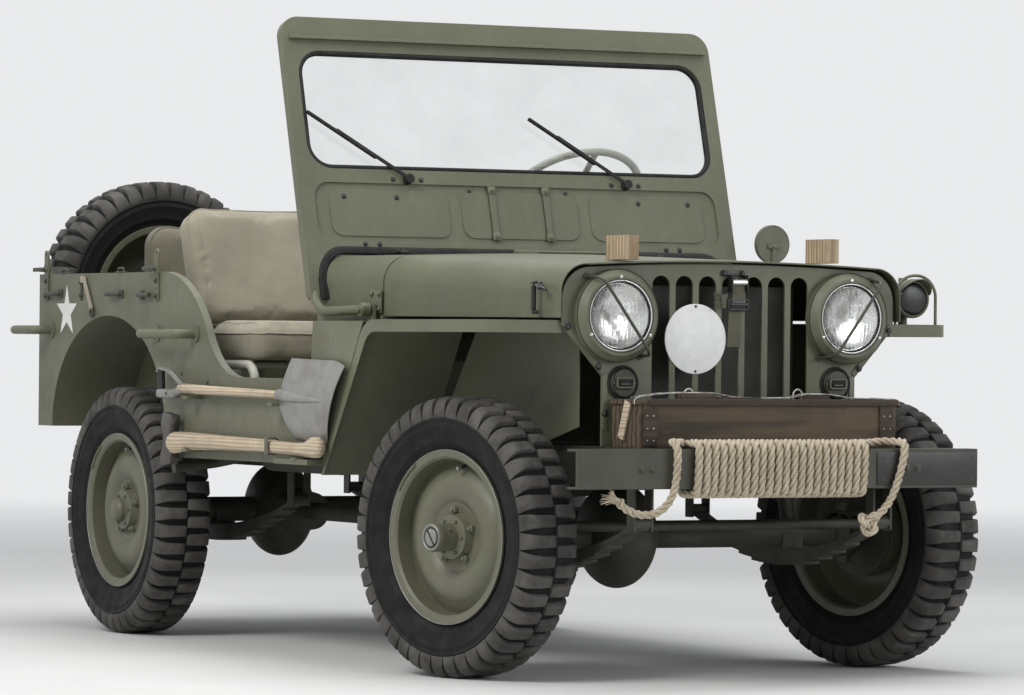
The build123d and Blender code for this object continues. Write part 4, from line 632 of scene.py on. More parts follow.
for k in range(HAIRS):
    aside = side_a * cos(GOLDEN_ANGLE * k) + side_b * sin(GOLDEN_ANGLE * k)
    away = aside * (0.12 + 0.5 * scattered(k, 37))
    start = tip - inward * 3 + aside * ROPE_D * 0.36 * scattered(k, 17) ** 0.5
    reach = 22 + 20 * scattered(k, 29)
    droop = Vector((0, 0, -reach * 0.25 * scattered(k, 13, 5)))
    hair = [start, start + (inward + away * 0.5) * reach * 0.5, start + (inward + away) * reach + droop]
    fray.merge(pipe(bent(hair, 12, 3), 0.9, 5))
for back in (10, 12.2, 14.4):
    band = [tip - inward * back + (side_a * cos(a) + side_b * sin(a)) * ROPE_D * 0.53 for a in around(20)]
    fray.merge(pipe(band, 1.3, 6, True))
KNOT_POINTS, KNOT_SIZE = 15, ROPE_D * 0.42
knot_line = []
for t in (2 * pi * j / KNOT_POINTS for j in range(KNOT_POINTS + 1)):
    trefoil = Vector((sin(t) + 2 * sin(2 * t), cos(t) - 2 * cos(2 * t), -1.3 * sin(3 * t)))
    knot_line.append(trefoil * KNOT_SIZE)
end_way = (rope_line[-1] - rope_line[-7]).normalized()
knot_base = facing(rope_line[-1] + end_way * ROPE_D * 0.4, (1, 0, 0.15))
knot_strands, _ = laid_strands(smooth_line([knot_base @ q for q in knot_line], 5), ROPE_D * 0.86, 60)
fray.build("rope_frayed_end", rope_fibre, slot="rope", sharp=60)
knot_strands.build("rope_knot", rope_fibre, slot="rope", sharp=60)

# Tyres: carcass turned from a profile, with staggered lugs that wrap over the shoulders
WHEELBASE, TRACK, REAR_AXLE_X, TYRE_R = 2032, 1226, -928, 357
FRONT_AXLE_X = REAR_AXLE_X + WHEELBASE
STEER_REST, KINGPIN_INSET = radians(12.8), 90
KINGPIN_Y = TRACK / 2 - KINGPIN_INSET
SPARE = Vector((-1582, -275, 976))
LUGS = 43
wheels = {}
for end_name, x, angle in (("front", FRONT_AXLE_X, STEER_REST), ("rear", REAR_AXLE_X, 0)):
    for side_name, side in (("right", -1), ("left", 1)):
        out = Vector((-side * sin(angle), side * cos(angle), 0))
        centre = Vector((x, side * KINGPIN_Y, TYRE_R)) + out * KINGPIN_INSET
        wheels[f"{end_name}_{side_name}"] = (centre, out, f"{end_name}_{side_name}_wheel")
wheels["spare"] = (SPARE, Vector(REAR), "car")
half_profile = [
    (207, 55), (224, 57), (232, 61), (240, 66.5), (243, 69.5), (246, 69.8), (249, 70), (262, 74.5),
    (276, 77.4), (279, 79.2), (284, 79.6), (287, 78.6), (293, 78.6), (295.5, 81), (299, 81.6), (302, 79),
    (310, 77), (320, 74.5), (330, 70), (337, 64), (341, 57), (343.5, 45), (345, 25), (345.4, 8),
]
carcass = turned(half_profile + [(r, -w) for r, w in reversed(half_profile)], 120, True)
lug_sections = [
    # radius and offset of the outer face, radius and offset of the root, half width of the top
    (354.5, 3, 343, 3, 14), (356.4, 6, 343, 5, 14.2), (356.8, 24, 343, 24, 14.6), (356, 48, 341, 46, 15),
    (353.5, 62, 335, 57, 16), (347, 71.5, 326, 64, 17.5), (336, 78, 316, 70, 19), (322, 81.3, 306, 74, 20.4),
    (309, 81.8, 300, 76, 21), (303, 79.5, 297, 76, 20.6),
]
for k in range(LUGS):
    for side, angle in ((1, 2 * pi * k / LUGS), (-1, 2 * pi * (k + 0.5) / LUGS)):
        rings = []
        for r, w, root_r, root_w, top in lug_sections:
            foot = top + (2.2 if w < 75 else 0.8)
            half = [(foot, root_r, root_w), (top, r - 1.6, w - 0.4), (top - 1.8, r, w)]
            section = [(-t, radius, offset) for t, radius, offset in half] + half[::-1]
            polar = [(radius, angle + t / radius, offset) for t, radius, offset in section]
            rings.append([Vector((r * cos(a), r * sin(a), offset * side)) for r, a, offset in polar])
        carcass.add(*strip(rings), 1)
for name, (centre, out, body) in wheels.items():
    tyre = Solid().merge(carcass, at=facing(centre, out))
    piece = tyre.build(f"treaded_tyre_{name}", wall_rubber, tread_rubber, body=body, slot="tyre", sharp=40)
    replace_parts(piece, f"tyre_{name}")


# Soft pads: each swells in a cloth simulation, rests flat, then gets its welts and stitching
CLOTH_FRAMES, PRESSURE, CLOTH_STIFFNESS, PAD_CORNER_STEPS = 20, 4, 12, 6


def evaluated(piece):
    return bpy.data.meshes.new_from_object(piece.evaluated_get(bpy.context.evaluated_depsgraph_get()))


def swollen(name, size, corner, radius, voxel, cap):
    """Mesh of a padded block about the origin, resting on z = 0."""
    profile = [(radius * 0.5, 0), (radius * 0.15, radius * 0.25), (0, radius * 0.6)]
    for a in (pi / 2 * k / PAD_CORNER_STEPS for k in range(PAD_CORNER_STEPS + 1)):
        profile.append((radius * (1 - cos(a)), size[2] - radius * (1 - sin(a))))
    rings = []
    for inset, z in profile:
        half_x, half_y = size[0] / 2 - inset, size[1] / 2 - inset
        rings.append(round_rectangle(half_x, half_y, max(corner - inset, 4), PAD_CORNER_STEPS, z))
    pad = linked(name, Solid(*strip(rings)).mesh(name))
    remesh = pad.modifiers.new("remesh", "REMESH")
    remesh.mode = "VOXEL"
    remesh.voxel_size = voxel * MM
    fine = evaluated(pad)
    pad.modifiers.clear()
    pad.data = fine
    start = [v.co.copy() for v in fine.vertices]
    moved = start
    cloth = pad.modifiers.new("cloth", "CLOTH")
    settings = cloth.settings
    settings.use_pressure = True
    settings.uniform_pressure_force = PRESSURE
    settings.effector_weights.gravity = 0
    settings.tension_stiffness = settings.compression_stiffness = CLOTH_STIFFNESS
    settings.quality = 4
    cloth.point_cache.frame_start, cloth.point_cache.frame_end = 1, CLOTH_FRAMES
    for step in range(1, CLOTH_FRAMES + 1):
        scene.frame_set(step)
    moved = [v.co.copy() for v in evaluated(pad).vertices]
    pad.modifiers.clear()
    scene.frame_set(1)
    limit = cap * MM
    for vertex, origin, target in zip(fine.vertices, start, moved):
        step = target - origin
        if step.length > limit:
            step *= limit / step.length
        where = origin + step
        fold = noise.noise(origin * 9.0) * 1.6 + noise.noise(origin * 26.0) * 0.5
        inner = max(0.0, min(1.0, origin.z * 1000 / size[2] * 1.6))
        where.z = max(0.0005, where.z + fold * MM * inner)
        vertex.co = where
    smooth = pad.modifiers.new("smooth", "SUBSURF")
    smooth.levels = smooth.render_levels = 1
    done = evaluated(pad)
    bpy.data.objects.remove(pad)
    for polygon in done.polygons:
        polygon.use_smooth = True
    return done


def on_surface(tree, points, lift):
    """Points of a line dropped on to a mesh, in millimetres."""
    found = (tree.find_nearest(Vector(point) * MM) for point in points)
    return [place / MM + normal * lift for place, normal, _, _ in found]


def stitched(tree, points, pitch=7.0, length=4.2, wire=0.75):
    """Row of short stitches along a line on a mesh."""
    made, line, travel = Solid(), on_surface(tree, points, 0.35), 0.0
    for a, b in zip(line, line[1:]):
        span = (b - a).length
        if span < 1e-6:
            continue
        way = (b - a) / span
        while travel + length <= span:
            made.merge(pipe([a + way * travel, a + way * (travel + length)], wire, 5))
            travel += pitch
        travel = max(0.0, travel - span)
    return made


def evenly(corners, spacing=18.0):
    """Closed line with its long runs divided."""
    line = []
    for a, b in zip(corners, corners[1:] + corners[:1]):
        count = max(1, ceil((b - a).length / spacing))
        line.extend(a + (b - a) * k / count for k in range(count))
    return line


def padded_set(node, kind, size, corner, radius, voxel, cap, places, look, seams):
    """One swollen pad copied to its places, with a welt round the top edge and stitched lines."""
    source = swollen(kind, size, corner, radius, voxel, cap)
    faces = [tuple(polygon.vertices) for polygon in source.polygons]
    tree = BVHTree.FromPolygons([vertex.co.copy() for vertex in source.vertices], faces)
    loop = round_rectangle(size[0] / 2 + 6, size[1] / 2 + 6, corner, 8, size[2] - radius * 0.45)
    trim = pipe(on_surface(tree, evenly(loop), 1.0), 2.9, 8, True)
    over = size[2] + 20
    for a, b in seams:
        a, b = Vector((*a, over)), Vector((*b, over))
        trim.merge(stitched(tree, [a + (b - a) * k / 40 for k in range(41)]))
    for name, place in places.items():
        mesh = source.copy()
        mesh.transform(Matrix.Translation(place.translation * MM) @ place.to_3x3().to_4x4())
        mesh.materials.clear()
        piece = fitted(name, mesh, [look], "car")
        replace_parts(piece, node)
        Solid().merge(trim, at=place).build(f"{name}_seams", look, slot="canvas", sharp=60)
    bpy.data.meshes.remove(source)


def seams_along(half_length, *offsets):
    return [((-half_length, k * y), (half_length, k * y)) for k in BOTH for y in offsets]


SEAT_Y, SEAT_HALF, SEAT_LOW, SEAT_TOP, SEAT_FRONT_X, SEAT_BACK_X = 345, 235, 795, 900, -230, -590
BACK_LEAN, BACK_HEIGHT, BACK_THICK = radians(17), 385, 95
BACK_FOOT_X, BACK_FOOT_Z = -598, 884
PAD_ROOM, PAD_RISE = 10, 8
seat_middle = (SEAT_FRONT_X + SEAT_BACK_X) / 2
seat_width = 2 * SEAT_HALF - PAD_ROOM
back_up, back_out = Vector((-sin(BACK_LEAN), 0, cos(BACK_LEAN))), Vector((cos(BACK_LEAN), 0, sin(BACK_LEAN)))
cushion_places, back_places = {}, {}
for side_name, side in (("right", -1), ("left", 1)):
    seat = (seat_middle, side * SEAT_Y, SEAT_LOW + 0.5)
    foot = Vector((BACK_FOOT_X, side * SEAT_Y, BACK_FOOT_Z)) + back_up * (BACK_HEIGHT / 2)
    foot -= back_out * (BACK_THICK - 0.5)
    cushion_places[f"seat_cushion_{side_name}"] = Matrix.Translation(seat)
    back_places[f"seat_back_{side_name}"] = axes(back_up, back_out.cross(back_up), back_out, foot)
BENCH_SIZE, REST_SIZE = (380, 790, 73), (315, 790, 77)
bench_place = {"bench_cushion": Matrix.Translation((-1155, 0, 800.5))}
cushion_size = (SEAT_FRONT_X - SEAT_BACK_X - PAD_ROOM, seat_width, SEAT_TOP - SEAT_LOW - PAD_RISE)
back_size = (BACK_HEIGHT - PAD_ROOM, seat_width, BACK_THICK - PAD_RISE)
seams = seams_along(140, 198, 204) + [((x, -190), (x, 190)) for x in (-148, -142)]
padded_set("seat_pads", "cushion", cushion_size, 52, 34, 8, 15, cushion_places, canvas, seams)
seams = seams_along(172, 195, 201)
padded_set("seat_pads", "back", back_size, 62, 30, 8, 15, back_places, canvas, seams)
seams = seams_along(150, 130, 134)
padded_set("bench_pads", "bench", BENCH_SIZE, 50, 28, 10, 13, bench_place, shaded_bench_canvas, seams)
seams = seams_along(120, 130, 134)
rest_place = {"bench_backrest": axes((0, 0, -1), (0, 1, 0), FORE, (-1439.5, 0, 1042.5))}
padded_set("bench_pads", "bench_back", REST_SIZE, 64, 30, 10, 13, rest_place, shaded_bench_canvas, seams)

# Headlights: reflector, bulb shield, trim rings and screws
LAMP_Y, LAMP_Z, SCREW_CIRCLE = 340, 921, 97.5
dish = [
    (83.6, 1425.6), (83.6, 1426.1), (70, 1423.7), (50, 1420.3), (30, 1416.9), (12, 1414.2), (0.01, 1413.4),
    (0.01, 1412.9),
]
bulb_shield = [(15, 1413), (15, 1421), (13, 1423.5), (8, 1425), (0.01, 1425.4)]
plated, dark_rings, lamp_screws = Solid(), Solid(), Solid()
for lamp_y in (-LAMP_Y, LAMP_Y):
    at = facing((0, lamp_y, LAMP_Z), FORE)
    plated.merge(turned(dish, 64), turned(bulb_shield, 24), at=at)
    plated.merge(ring((1438.6, lamp_y, LAMP_Z), FORE, 88.4, 2.1))
    for x, radius, wire, across in ((1436.2, 85.0, 1.7, 10), (1441.0, 92.4, 0.9, 6), (1423.5, 117.2, 0.8, 6)):
        dark_rings.merge(ring((x, lamp_y, LAMP_Z), FORE, radius, wire, 64, across))
    for a in (radians(90), radians(210), radians(330)):
        y, z = lamp_y + SCREW_CIRCLE * cos(a), LAMP_Z + SCREW_CIRCLE * sin(a)
        lamp_screws.merge(rivet((1440.8, y, z), FORE, 4.6, 2.4))
        lamp_screws.merge(slab((0.8, 7.4, 1.1), 0.3, (1443, y, z)), slot=1)
plated.build("headlight_reflectors", bright_metal, slot="glass", sharp=30)
dark_rings.build("headlight_gaskets", soft_rubber, slot="rubber", sharp=50)
lamp_screws.build("headlight_screws", bright_metal, black_paint)

# Parking lamps: rubber ring, raised slot frame, screws
PARK_Y, PARK_Z = 314, 752
park_dark, park_metal = Solid(), Solid()
for y in (-PARK_Y, PARK_Y):
    park_dark.merge(
        ring((1405, y, PARK_Z), FORE, 41.2, 3.4), ring((1414.4, y, PARK_Z), FORE, 34.5, 1.2),
        slab((1.2, 40, 17), 0.5, (1420.4, y, PARK_Z)),
    )
    park_metal.merge(
        outline_pipe(facing((1420.3, y, PARK_Z), FORE), 23.5, 12, 5, 2.2),
        slab((1.8, 26, 3), 0.6, (1421.2, y, PARK_Z - 3)),
        rivet((1414, y - 30, PARK_Z), FORE, 3.2, 2), rivet((1414, y + 30, PARK_Z), FORE, 3.2, 2),
    )
park_dark.build("parking_lamp_rubbers", soft_rubber, slot="rubber", sharp=50)
park_metal.build("parking_lamp_frames", paint)

# Windscreen: fasteners, clip straps, glass seal
LEAN = radians(15.86)
SCREEN_X, SCREEN_Z = 353.6, 900
GLASS_LOW, GLASS_HIGH, GLASS_HALF = 1318, 1640, 624.5
screen_out, screen_up = Vector((cos(LEAN), 0, sin(LEAN))), Vector((-sin(LEAN), 0, cos(LEAN)))


def screen(y, z, off=0.0):
    """Point on the windscreen's front at this height, or off it."""
    return Vector((SCREEN_X - tan(LEAN) * (z - SCREEN_Z), y, z)) + screen_out * off


fasteners, straps = Solid(), Solid()
studs = ((536, 1243, -3), (377, 1243, -3), (489, 1114, 0), (446, 1114, 0), (383, 1292, 0), (297, 1292, 0))
for k in BOTH:
    for y, z, off in studs:
        spot = screen(k * y, z, off)
        fasteners.merge(rivet(spot, screen_out, 6.2, 4.4), ring(spot, screen_out, 6.6, 1.1, 20, 6))
    fasteners.merge(rivet(screen(k * 150, 1266, -3), screen_out, 5, 3.2))
    straps.merge(slab((4, 19, 118), 1.6, screen(k * 84, 1204, 1), screen_out))
    for z in (1140, 1268):
        straps.merge(slab((6, 24, 22), 2, screen(k * 84, z, 1.8), screen_out))
        straps.merge(bolt(screen(k * 84, z, 4.6), screen_out, 6, 5.5))
at_glass = axes((0, 1, 0), screen_up, screen_out, screen(0, (GLASS_LOW + GLASS_HIGH) / 2, -5.5))
seal_half = (GLASS_HIGH - GLASS_LOW) / cos(LEAN) / 2 - 5.5
seal = outline_pipe(at_glass, GLASS_HALF, seal_half, 64, 7.5, 12, 10, 0.85)
seal.merge(outline_pipe(at_glass @ Matrix.Translation((0, 0, -10)), GLASS_HALF, seal_half, 64, 6, 12, 8))
fasteners.build("windscreen_fasteners", black_paint, body="windscreen")
straps.build("windscreen_straps", paint, body="windscreen")
seal.build("windscreen_seal", soft_rubber, body="windscreen", slot="rubber", sharp=60)


# Weather seal between cowl and windscreen, and the hinge plates
def arch_line(inset, off):
    """Line inside the windscreen's arch, in its plane."""
    half, top, corner = 642 - inset, 1106 - inset * cos(LEAN), 84 - inset
    line = [screen(-half, 962, off), screen(-half, 990, off)]
    for a in (pi / 2 * k / 10 for k in range(11)):
        line.append(screen(-half + corner * (1 - cos(a)), top - corner * (1 - sin(a)), off))
    line += [screen(y, top, off) for y in range(-500, 1, 100)]
    return line + [Vector((p.x, -p.y, p.z)) for p in reversed(line[:-1])]


weather = pipe(arch_line(12.5, 1.5), 5.5, 14, flat=2.1)
weather.merge(pipe(arch_line(20, 7), 5, 10), slot=1)
weather.build("cowl_weather_seal", soft_rubber, wall_rubber, slot="rubber", sharp=60)
hinges = Solid()
for k in BOTH:
    back_along, outward = Vector((251, -k * 74, 0)).normalized(), Vector((k * 74, k * 251, 0)).normalized()
    spot = Vector((526, k * 571, 956))
    hinges.merge(slab((44, 6, 60), 2.4, spot, back_along, outward))
    for dx, dz in ((-14, 20), (14, 20), (-14, -20), (14, -20)):
        hinges.merge(bolt(spot + back_along * dx + Vector((0, 0, dz)) + outward * 2.8, outward, 5.2, 5.5))
    hinges.merge(bolt((525, k * 618, 935), (0, k, 0), 9, 9))
hinges.build("windscreen_hinge_plates", paint)

# Hood latches: spring and T-hook on each side
LATCH_X, LATCH_Y = 1330, 531
latches = Solid()
for k in BOTH:
    y = k * LATCH_Y
    coil = [
        (LATCH_X + 5.2 * cos(a), y + 5.2 * sin(a), 932 + 62 * j / 219)
        for j, a in ((j, 2 * pi * j / 11) for j in range(220))
    ]
    hook = [(LATCH_X, y, 1002), (1352, y, 1006), (1366, y - k * 2, 988), (1388, y - k * 4, 984)]
    latches.merge(
        pipe(coil, 1.6, 6), pipe([(LATCH_X, y, 926), (LATCH_X, y, 1004)], 2.6, 8),
        slab((24, 10, 10), 3, (LATCH_X, y - k * 5, 928)), slab((26, 22, 5), 2, (LATCH_X, y - k * 8, 1002)),
        pipe(bent(hook, 9, 4), 3.4, 8), pipe([(1364, y - k * 16, 988), (1364, y + k * 8, 988)], 4.2, 8),
    )
latches.build("hood_latches", black_paint, body="hood", sharp=50)

# Wheels: nuts, hub ends, valve, rim line and clip
NUT_CIRCLE, NUT_TURN, HUB_CIRCLE, HUB_END = 68, 0.35, 45, 112.4
nut_tip = [(5.5, 38), (5.5, 45), (3.5, 47), (0.01, 47)]
front_cap = [(33.5, 92), (37, 95), (37, 109), (35, HUB_END), (26, HUB_END), (26, 111.5), (33, 108)]
rear_cap = [(30, 59), (34.5, 60), (34, 66), (28, 74), (16, 79), (0.01, 80), (0.01, 59)]
for name, (centre, out, body) in wheels.items():
    at = facing(centre, out)
    dull, shiny, black = Solid(), Solid(), Solid()
    for a in (step + NUT_TURN for step in around(5)):
        nut = Matrix.Translation((NUT_CIRCLE * cos(a), NUT_CIRCLE * sin(a), 0))
        dull.merge(bolt((0, 0, 25.2), UP, 10, 15), turned(nut_tip, 10), at=at @ nut)
    shiny.merge(ring((0, 0, 66), UP, 221, 1.1, 120, 8), at=at)
    clip = [at @ Vector((217 * cos(a), 217 * sin(a), 66.5)) for a in (radians(d) for d in range(124, 150, 2))]
    dull.merge(pipe(clip, 4.2, 8))
    rubber, cap = ((34, 186, 12), (33, 182, 26), (31, 176, 46)), ((31, 176, 44), (30, 174, 54))
    black.merge(pipe([at @ Vector(p) for p in rubber], [6, 4.4, 4.4], 10))
    shiny.merge(pipe([at @ Vector(p) for p in cap], 5, 10))
    if name != "spare":
        for a in around(6):
            dull.merge(bolt((HUB_CIRCLE * cos(a), HUB_CIRCLE * sin(a), 49.5), UP, 4.6, 6, False), at=at)
    if "front" in name:
        dull.merge(turned(front_cap, 40, True), at=at)
        shiny.merge(
            ring((0, 0, HUB_END), UP, 31, 2.6, 48, 8),
            turned([(22, 112.6), (22, 113.6), (19, 114.4), (0.01, 114.4), (0.01, 112.6)], 32), at=at,
        )
        tilt = Matrix.Rotation(radians(-55), 4, "Z") @ Matrix.Translation((0, 0, 114))
        black.merge(
            turned([(26, 111.8), (26, 112.5), (0.01, 112.9), (0.01, 111.8)], 32),
            soft_block((46, 5, 2.4), 0.6).place(tilt), at=at,
        )
        for a in (step + 0.6 for step in around(3)):
            flat_way = at.to_3x3() @ Vector((cos(a), sin(a), 0))
            dull.merge(bolt(at @ Vector((34 * cos(a), 34 * sin(a), 78)), flat_way, 4.6, 6, False))
    elif "rear" in name:
        dull.merge(turned(rear_cap, 40), at=at)
    dull.build(f"wheel_nuts_{name}", wheel_paint, body=body, slot="wheel_paint")
    shiny.build(f"wheel_bright_{name}", blade_steel, body=body, slot="wheel_paint")
    black.build(f"wheel_valve_{name}", soft_rubber, body=body, slot="rubber")

# Grille: hood strap with roller and buckle, edge flanges, sign bolts
FACE = 1402
iron, webs = Solid(), Solid()
roller = pipe([(FACE + 18, -7, 1010), (FACE + 18, 36, 1010)], 7.5, 16)
iron.merge(
    slab((3, 66, 15), 1.2, (FACE + 1.4, 4.5, 1032)), slab((26, 3, 44), 1.2, (FACE + 13, -8, 1006)),
    slab((26, 3, 44), 1.2, (FACE + 13, 37, 1006)), bolt((FACE + 2.8, -22, 1032), FORE, 5.5),
    bolt((FACE + 2.8, 31, 1032), FORE, 5.5),
    outline_pipe(facing((FACE + 15, 14, 953), FORE), 28, 13, 5, 4.2),
    slab((9, 52, 7), 2, (FACE + 17, 14, 953)), slab((20, 46, 24), 4, (FACE + 9, 14, 955)),
)
webs.merge(
    slab((2.4, 37, 40), 1, (FACE + 16, 15, 984), (1, 0, 0.1)),
    slab((2.6, 37, 96), 1.1, (FACE + 9, 7, 893), (1, 0, -0.06)),
    slab((3, 30, 34), 1.4, (FACE + 14, -24, 962), (1, 0.5, 0), (-0.3, 0.8, 0.2)),
)
THREADS = 60
for j in range(THREADS):
    seed = Vector((j * 1.37, 4.1, 0.7))
    share = scattered(j, 37, THREADS) - 0.5
    y0, z0 = -34 - 3 * noise.noise(seed), 962 + 30 * share
    tip_y, tip_z = -52 - 12 * abs(noise.noise(seed * 2.3)), 962 + 46 * share + 5 * noise.noise(seed * 3.1)
    x0 = FACE + 12 + 5 * scattered(j, 1, 7)
    thread = [(x0, y0 + 8, z0), (x0 + 3, (y0 + tip_y) / 2, (z0 + tip_z) / 2), (x0 + 2, tip_y, tip_z)]
    webs.merge(pipe(thread, 0.8, 5))
for k in BOTH:
    for (y0, z0), (y1, z1) in (((482, 902), (367, 775)), ((364, 772), (364, 634))):
        a, b = Vector((FACE + 1.2, k * y0, z0)), Vector((FACE + 1.2, k * y1, z1))
        iron.merge(slab((2.6, (b - a).length, 15), 1.1, (a + b) / 2, FORE, b - a), slot=1)
    iron.merge(*(bolt((FACE + 2.2, k * y, z), FORE) for y, z in ((385, 793), (364, 675), (474, 892))))
iron.merge(*(rivet((1405.2, -104, z), FORE, 3.6, 2) for z in (782, 947)))
iron.build("grille_fittings", black_paint, paint)
webs.build("hood_strap", webbing, slot="canvas", sharp=60)
roller.build("hood_strap_roller", bright_metal)

# Stowage box: lid strip, end cleat, top blocks, wire and staples
timber, wires = Solid(), Solid()
timber.merge(
    slab((7, 730, 17), 1.6, (1580.5, 28, 706)), slab((34, 94, 16), 2, (1540, -176, 719.5)),
    slab((34, 72, 14), 2, (1540, 168, 718.5)), slab((26, 120, 7), 1.5, (1548, -60, 715)),
)
timber.merge(slab((7, 100, 28), 1.5, (1504, -363.5, 660), (0, 1, 0), (0.36, 0, 0.93)), slot=1)
timber.merge(*(slab((6, 40, 104), 1.5, (1575, y, 648)) for y in (-330, 362)))
wire_line = [
    (1574, -376, 700), (1570, -372, 716), (1562, -330, 722), (1556, -275, 728), (1552, -225, 729),
    (1548, -128, 729), (1548, -80, 719.5), (1550, 0, 716), (1553, 90, 717), (1556, 130, 727),
    (1558, 205, 727), (1560, 260, 718), (1564, 340, 716), (1572, 396, 715), (1574, 402, 700),
]
second_wire = [(x - 22, y, z + 0.8) for x, y, z in wire_line[1:-1]]
wires.merge(pipe(bent(wire_line, 14, 4), 1.6, 6), pipe(bent(second_wire, 14, 4), 1.4, 6))
for y in (-204, 115):
    loop = [Vector((1545, y + 13 * cos(a), 724 + 15 * sin(a))) for a in (pi * j / 12 for j in range(13))]
    wires.merge(pipe(bent([(1545, y + 13, 708), *loop, (1545, y - 13, 708)], 2, 2), 2.6, 8))
for y in (-340, -322, 354, 372):
    wires.merge(*(rivet((1578, y, z), FORE, 2.6, 1.4) for z in (610, 640, 672)))
timber.build("stowage_box_battens", box_wood, pale_wood, slot="wood")
wires.build("stowage_box_wires", steel, slot="wood", sharp=50)

# Bumper: blank plate with its screws, bolts at the frame horns
PLATE_X, BOLT_Z = 1662.6, 541
plate = slab((2.6, 302, 84), 1, (1661.4, 432, 541.5))
plate.merge(*(rivet((PLATE_X, y, z), FORE, 4, 2) for y in (298, 566) for z in (512, 571)), slot=1)
for k, x in ((-1, BUMPER_FACE_X), (1, PLATE_X)):
    plate.merge(*(bolt((x, k * y, BOLT_Z), FORE, 7, 7) for y in (371, 401)), slot=1)
plate.build("bumper_plate", black_paint, shaded_paint)

# Sides: star, lashing hooks, strap with its loop, bow socket wings, top loops, rivets
WALL, STAR_X, STAR_Z, STAR_R, STAR_WAIST = 702, -1258, 931, 79, 30.5
marks, hooks, side_webs = Solid(), Solid(), Solid()
star = []
for j in range(10):
    r, a = STAR_WAIST if j % 2 else STAR_R, pi / 2 + pi * j / 5
    star.append((STAR_X + r * cos(a), STAR_Z + r * sin(a)))
for k in BOTH:
    wall, face_out = k * WALL, (0, k, 0)
    marks.add(*strip([[Vector((x, y, z)) for x, z in star] for y in (wall + k * 0.7, wall - k * 0.3)]))
    for x0, x1, z in ((-1303, -1382, 984), (-857, -932, 981), (-710, -625, 978)):
        hook = bent([(x0, wall, z), (x0, wall + k * 16, z), (x1, wall + k * 16, z)], 9, 5)
        hooks.merge(pipe(hook, 6.5, 12), slab((30, 4, 26), 1.5, (x0, wall + k * 2, z)))
        hooks.merge(*(rivet((x0 + 9, wall + k * 3.8, z + dz), face_out, 3, 1.8) for dz in (-8, 8)))
    for x, top in ((-1405, 1100), (-600, 1096)):
        hooks.merge(slab((78, 7, 12), 2.6, (x - 10, k * 728, top - 44)))
        hooks.merge(*(bolt((x, k * 708, top + dz), face_out, height=7) for dz in (-122, -78)))
        hooks.merge(rivet((x, k * 708, top - 100), face_out, 3.5, 2))
    a, b = Vector((-1122, wall + k * 6, 1030)), Vector((-1062, wall + k * 6, 938))
    side_webs.merge(
        slab((3, (b - a).length, 20), 1.3, (a + b) / 2, face_out, b - a),
        slab((3.4, 22, 20), 1.3, (-1136, wall + k * 5.4, 1025), face_out, FORE),
    )
    hooks.merge(
        slab((14, 4, 68), 1.5, (-1148, wall + k * 2, 998)),
        bolt((-1148, wall + k * 3.6, 978), face_out, 5.5), bolt((-1148, wall + k * 3.6, 1016), face_out, 5.5),
        ring((-1059, wall + k * 7, 927), face_out, 11, 3.4, 28, 8),
        slab((22, 5, 16), 2, (-1062, wall + k * 3, 940), (0.55, 0, -0.84)),
        rivet((-430, wall, 755), face_out, 6, 3.4), rivet((-255, wall, 733), face_out, 6, 3.4),
    )
    for x in (-1285, -871):
        staple = [(x + dx, k * 698, z) for dx, z in ((-20, 1040), (-20, 1056), (20, 1056), (20, 1040))]
        hooks.merge(pipe(bent(staple, 9, 4), 3.4, 8), slab((58, 14, 4), 1.6, (x, k * 697, 1044.5)))
for y in (-560, -420, 60, 240, 420):
    loop = [(x, y + dy, 970) for x, dy in ((-1468, -26), (-1482, -26), (-1482, 26), (-1468, 26))]
    hooks.merge(pipe(bent(loop, 8, 4), 4.5, 10))
marks.build("side_stars", star_paint, slot="sign_white", sharp=20)
hooks.build("side_fittings", shaded_paint)
side_webs.build("side_straps", canvas, slot="canvas")

# Blackout lamp: lens, rim and visor
BLACKOUT = Vector((0, 590, 975))
lens_profile = [(43, 1339.6), (42, 1342), (34, 1345.5), (18, 1347.5), (0.01, 1348), (0.01, 1339.6)]
visor = []
for j in range(25):
    a, front = radians(12 + 156 * j / 24), 1344 + 38 * sin(pi * j / 24) ** 0.8
    section = ((1334, 50.2), (front, 50.2), (front, 52.4), (1334, 52.4))
    visor.append([BLACKOUT + Vector((x, r * cos(a), r * sin(a))) for x, r in section])
cap = ring(BLACKOUT + Vector((1340.6, 0, 0)), FORE, 45.5, 2.8, 48, 8)
cap.merge(Solid(*strip(visor)), slab((10, 24, 22), 3, (1290, 590, 1020)))
cap.build("blackout_lamp_visor", paint, sharp=30)
lens = turned(lens_profile, 40).place(facing(BLACKOUT, FORE))
lens.build("blackout_lamp_lens", dial_face, slot="glass", sharp=60)

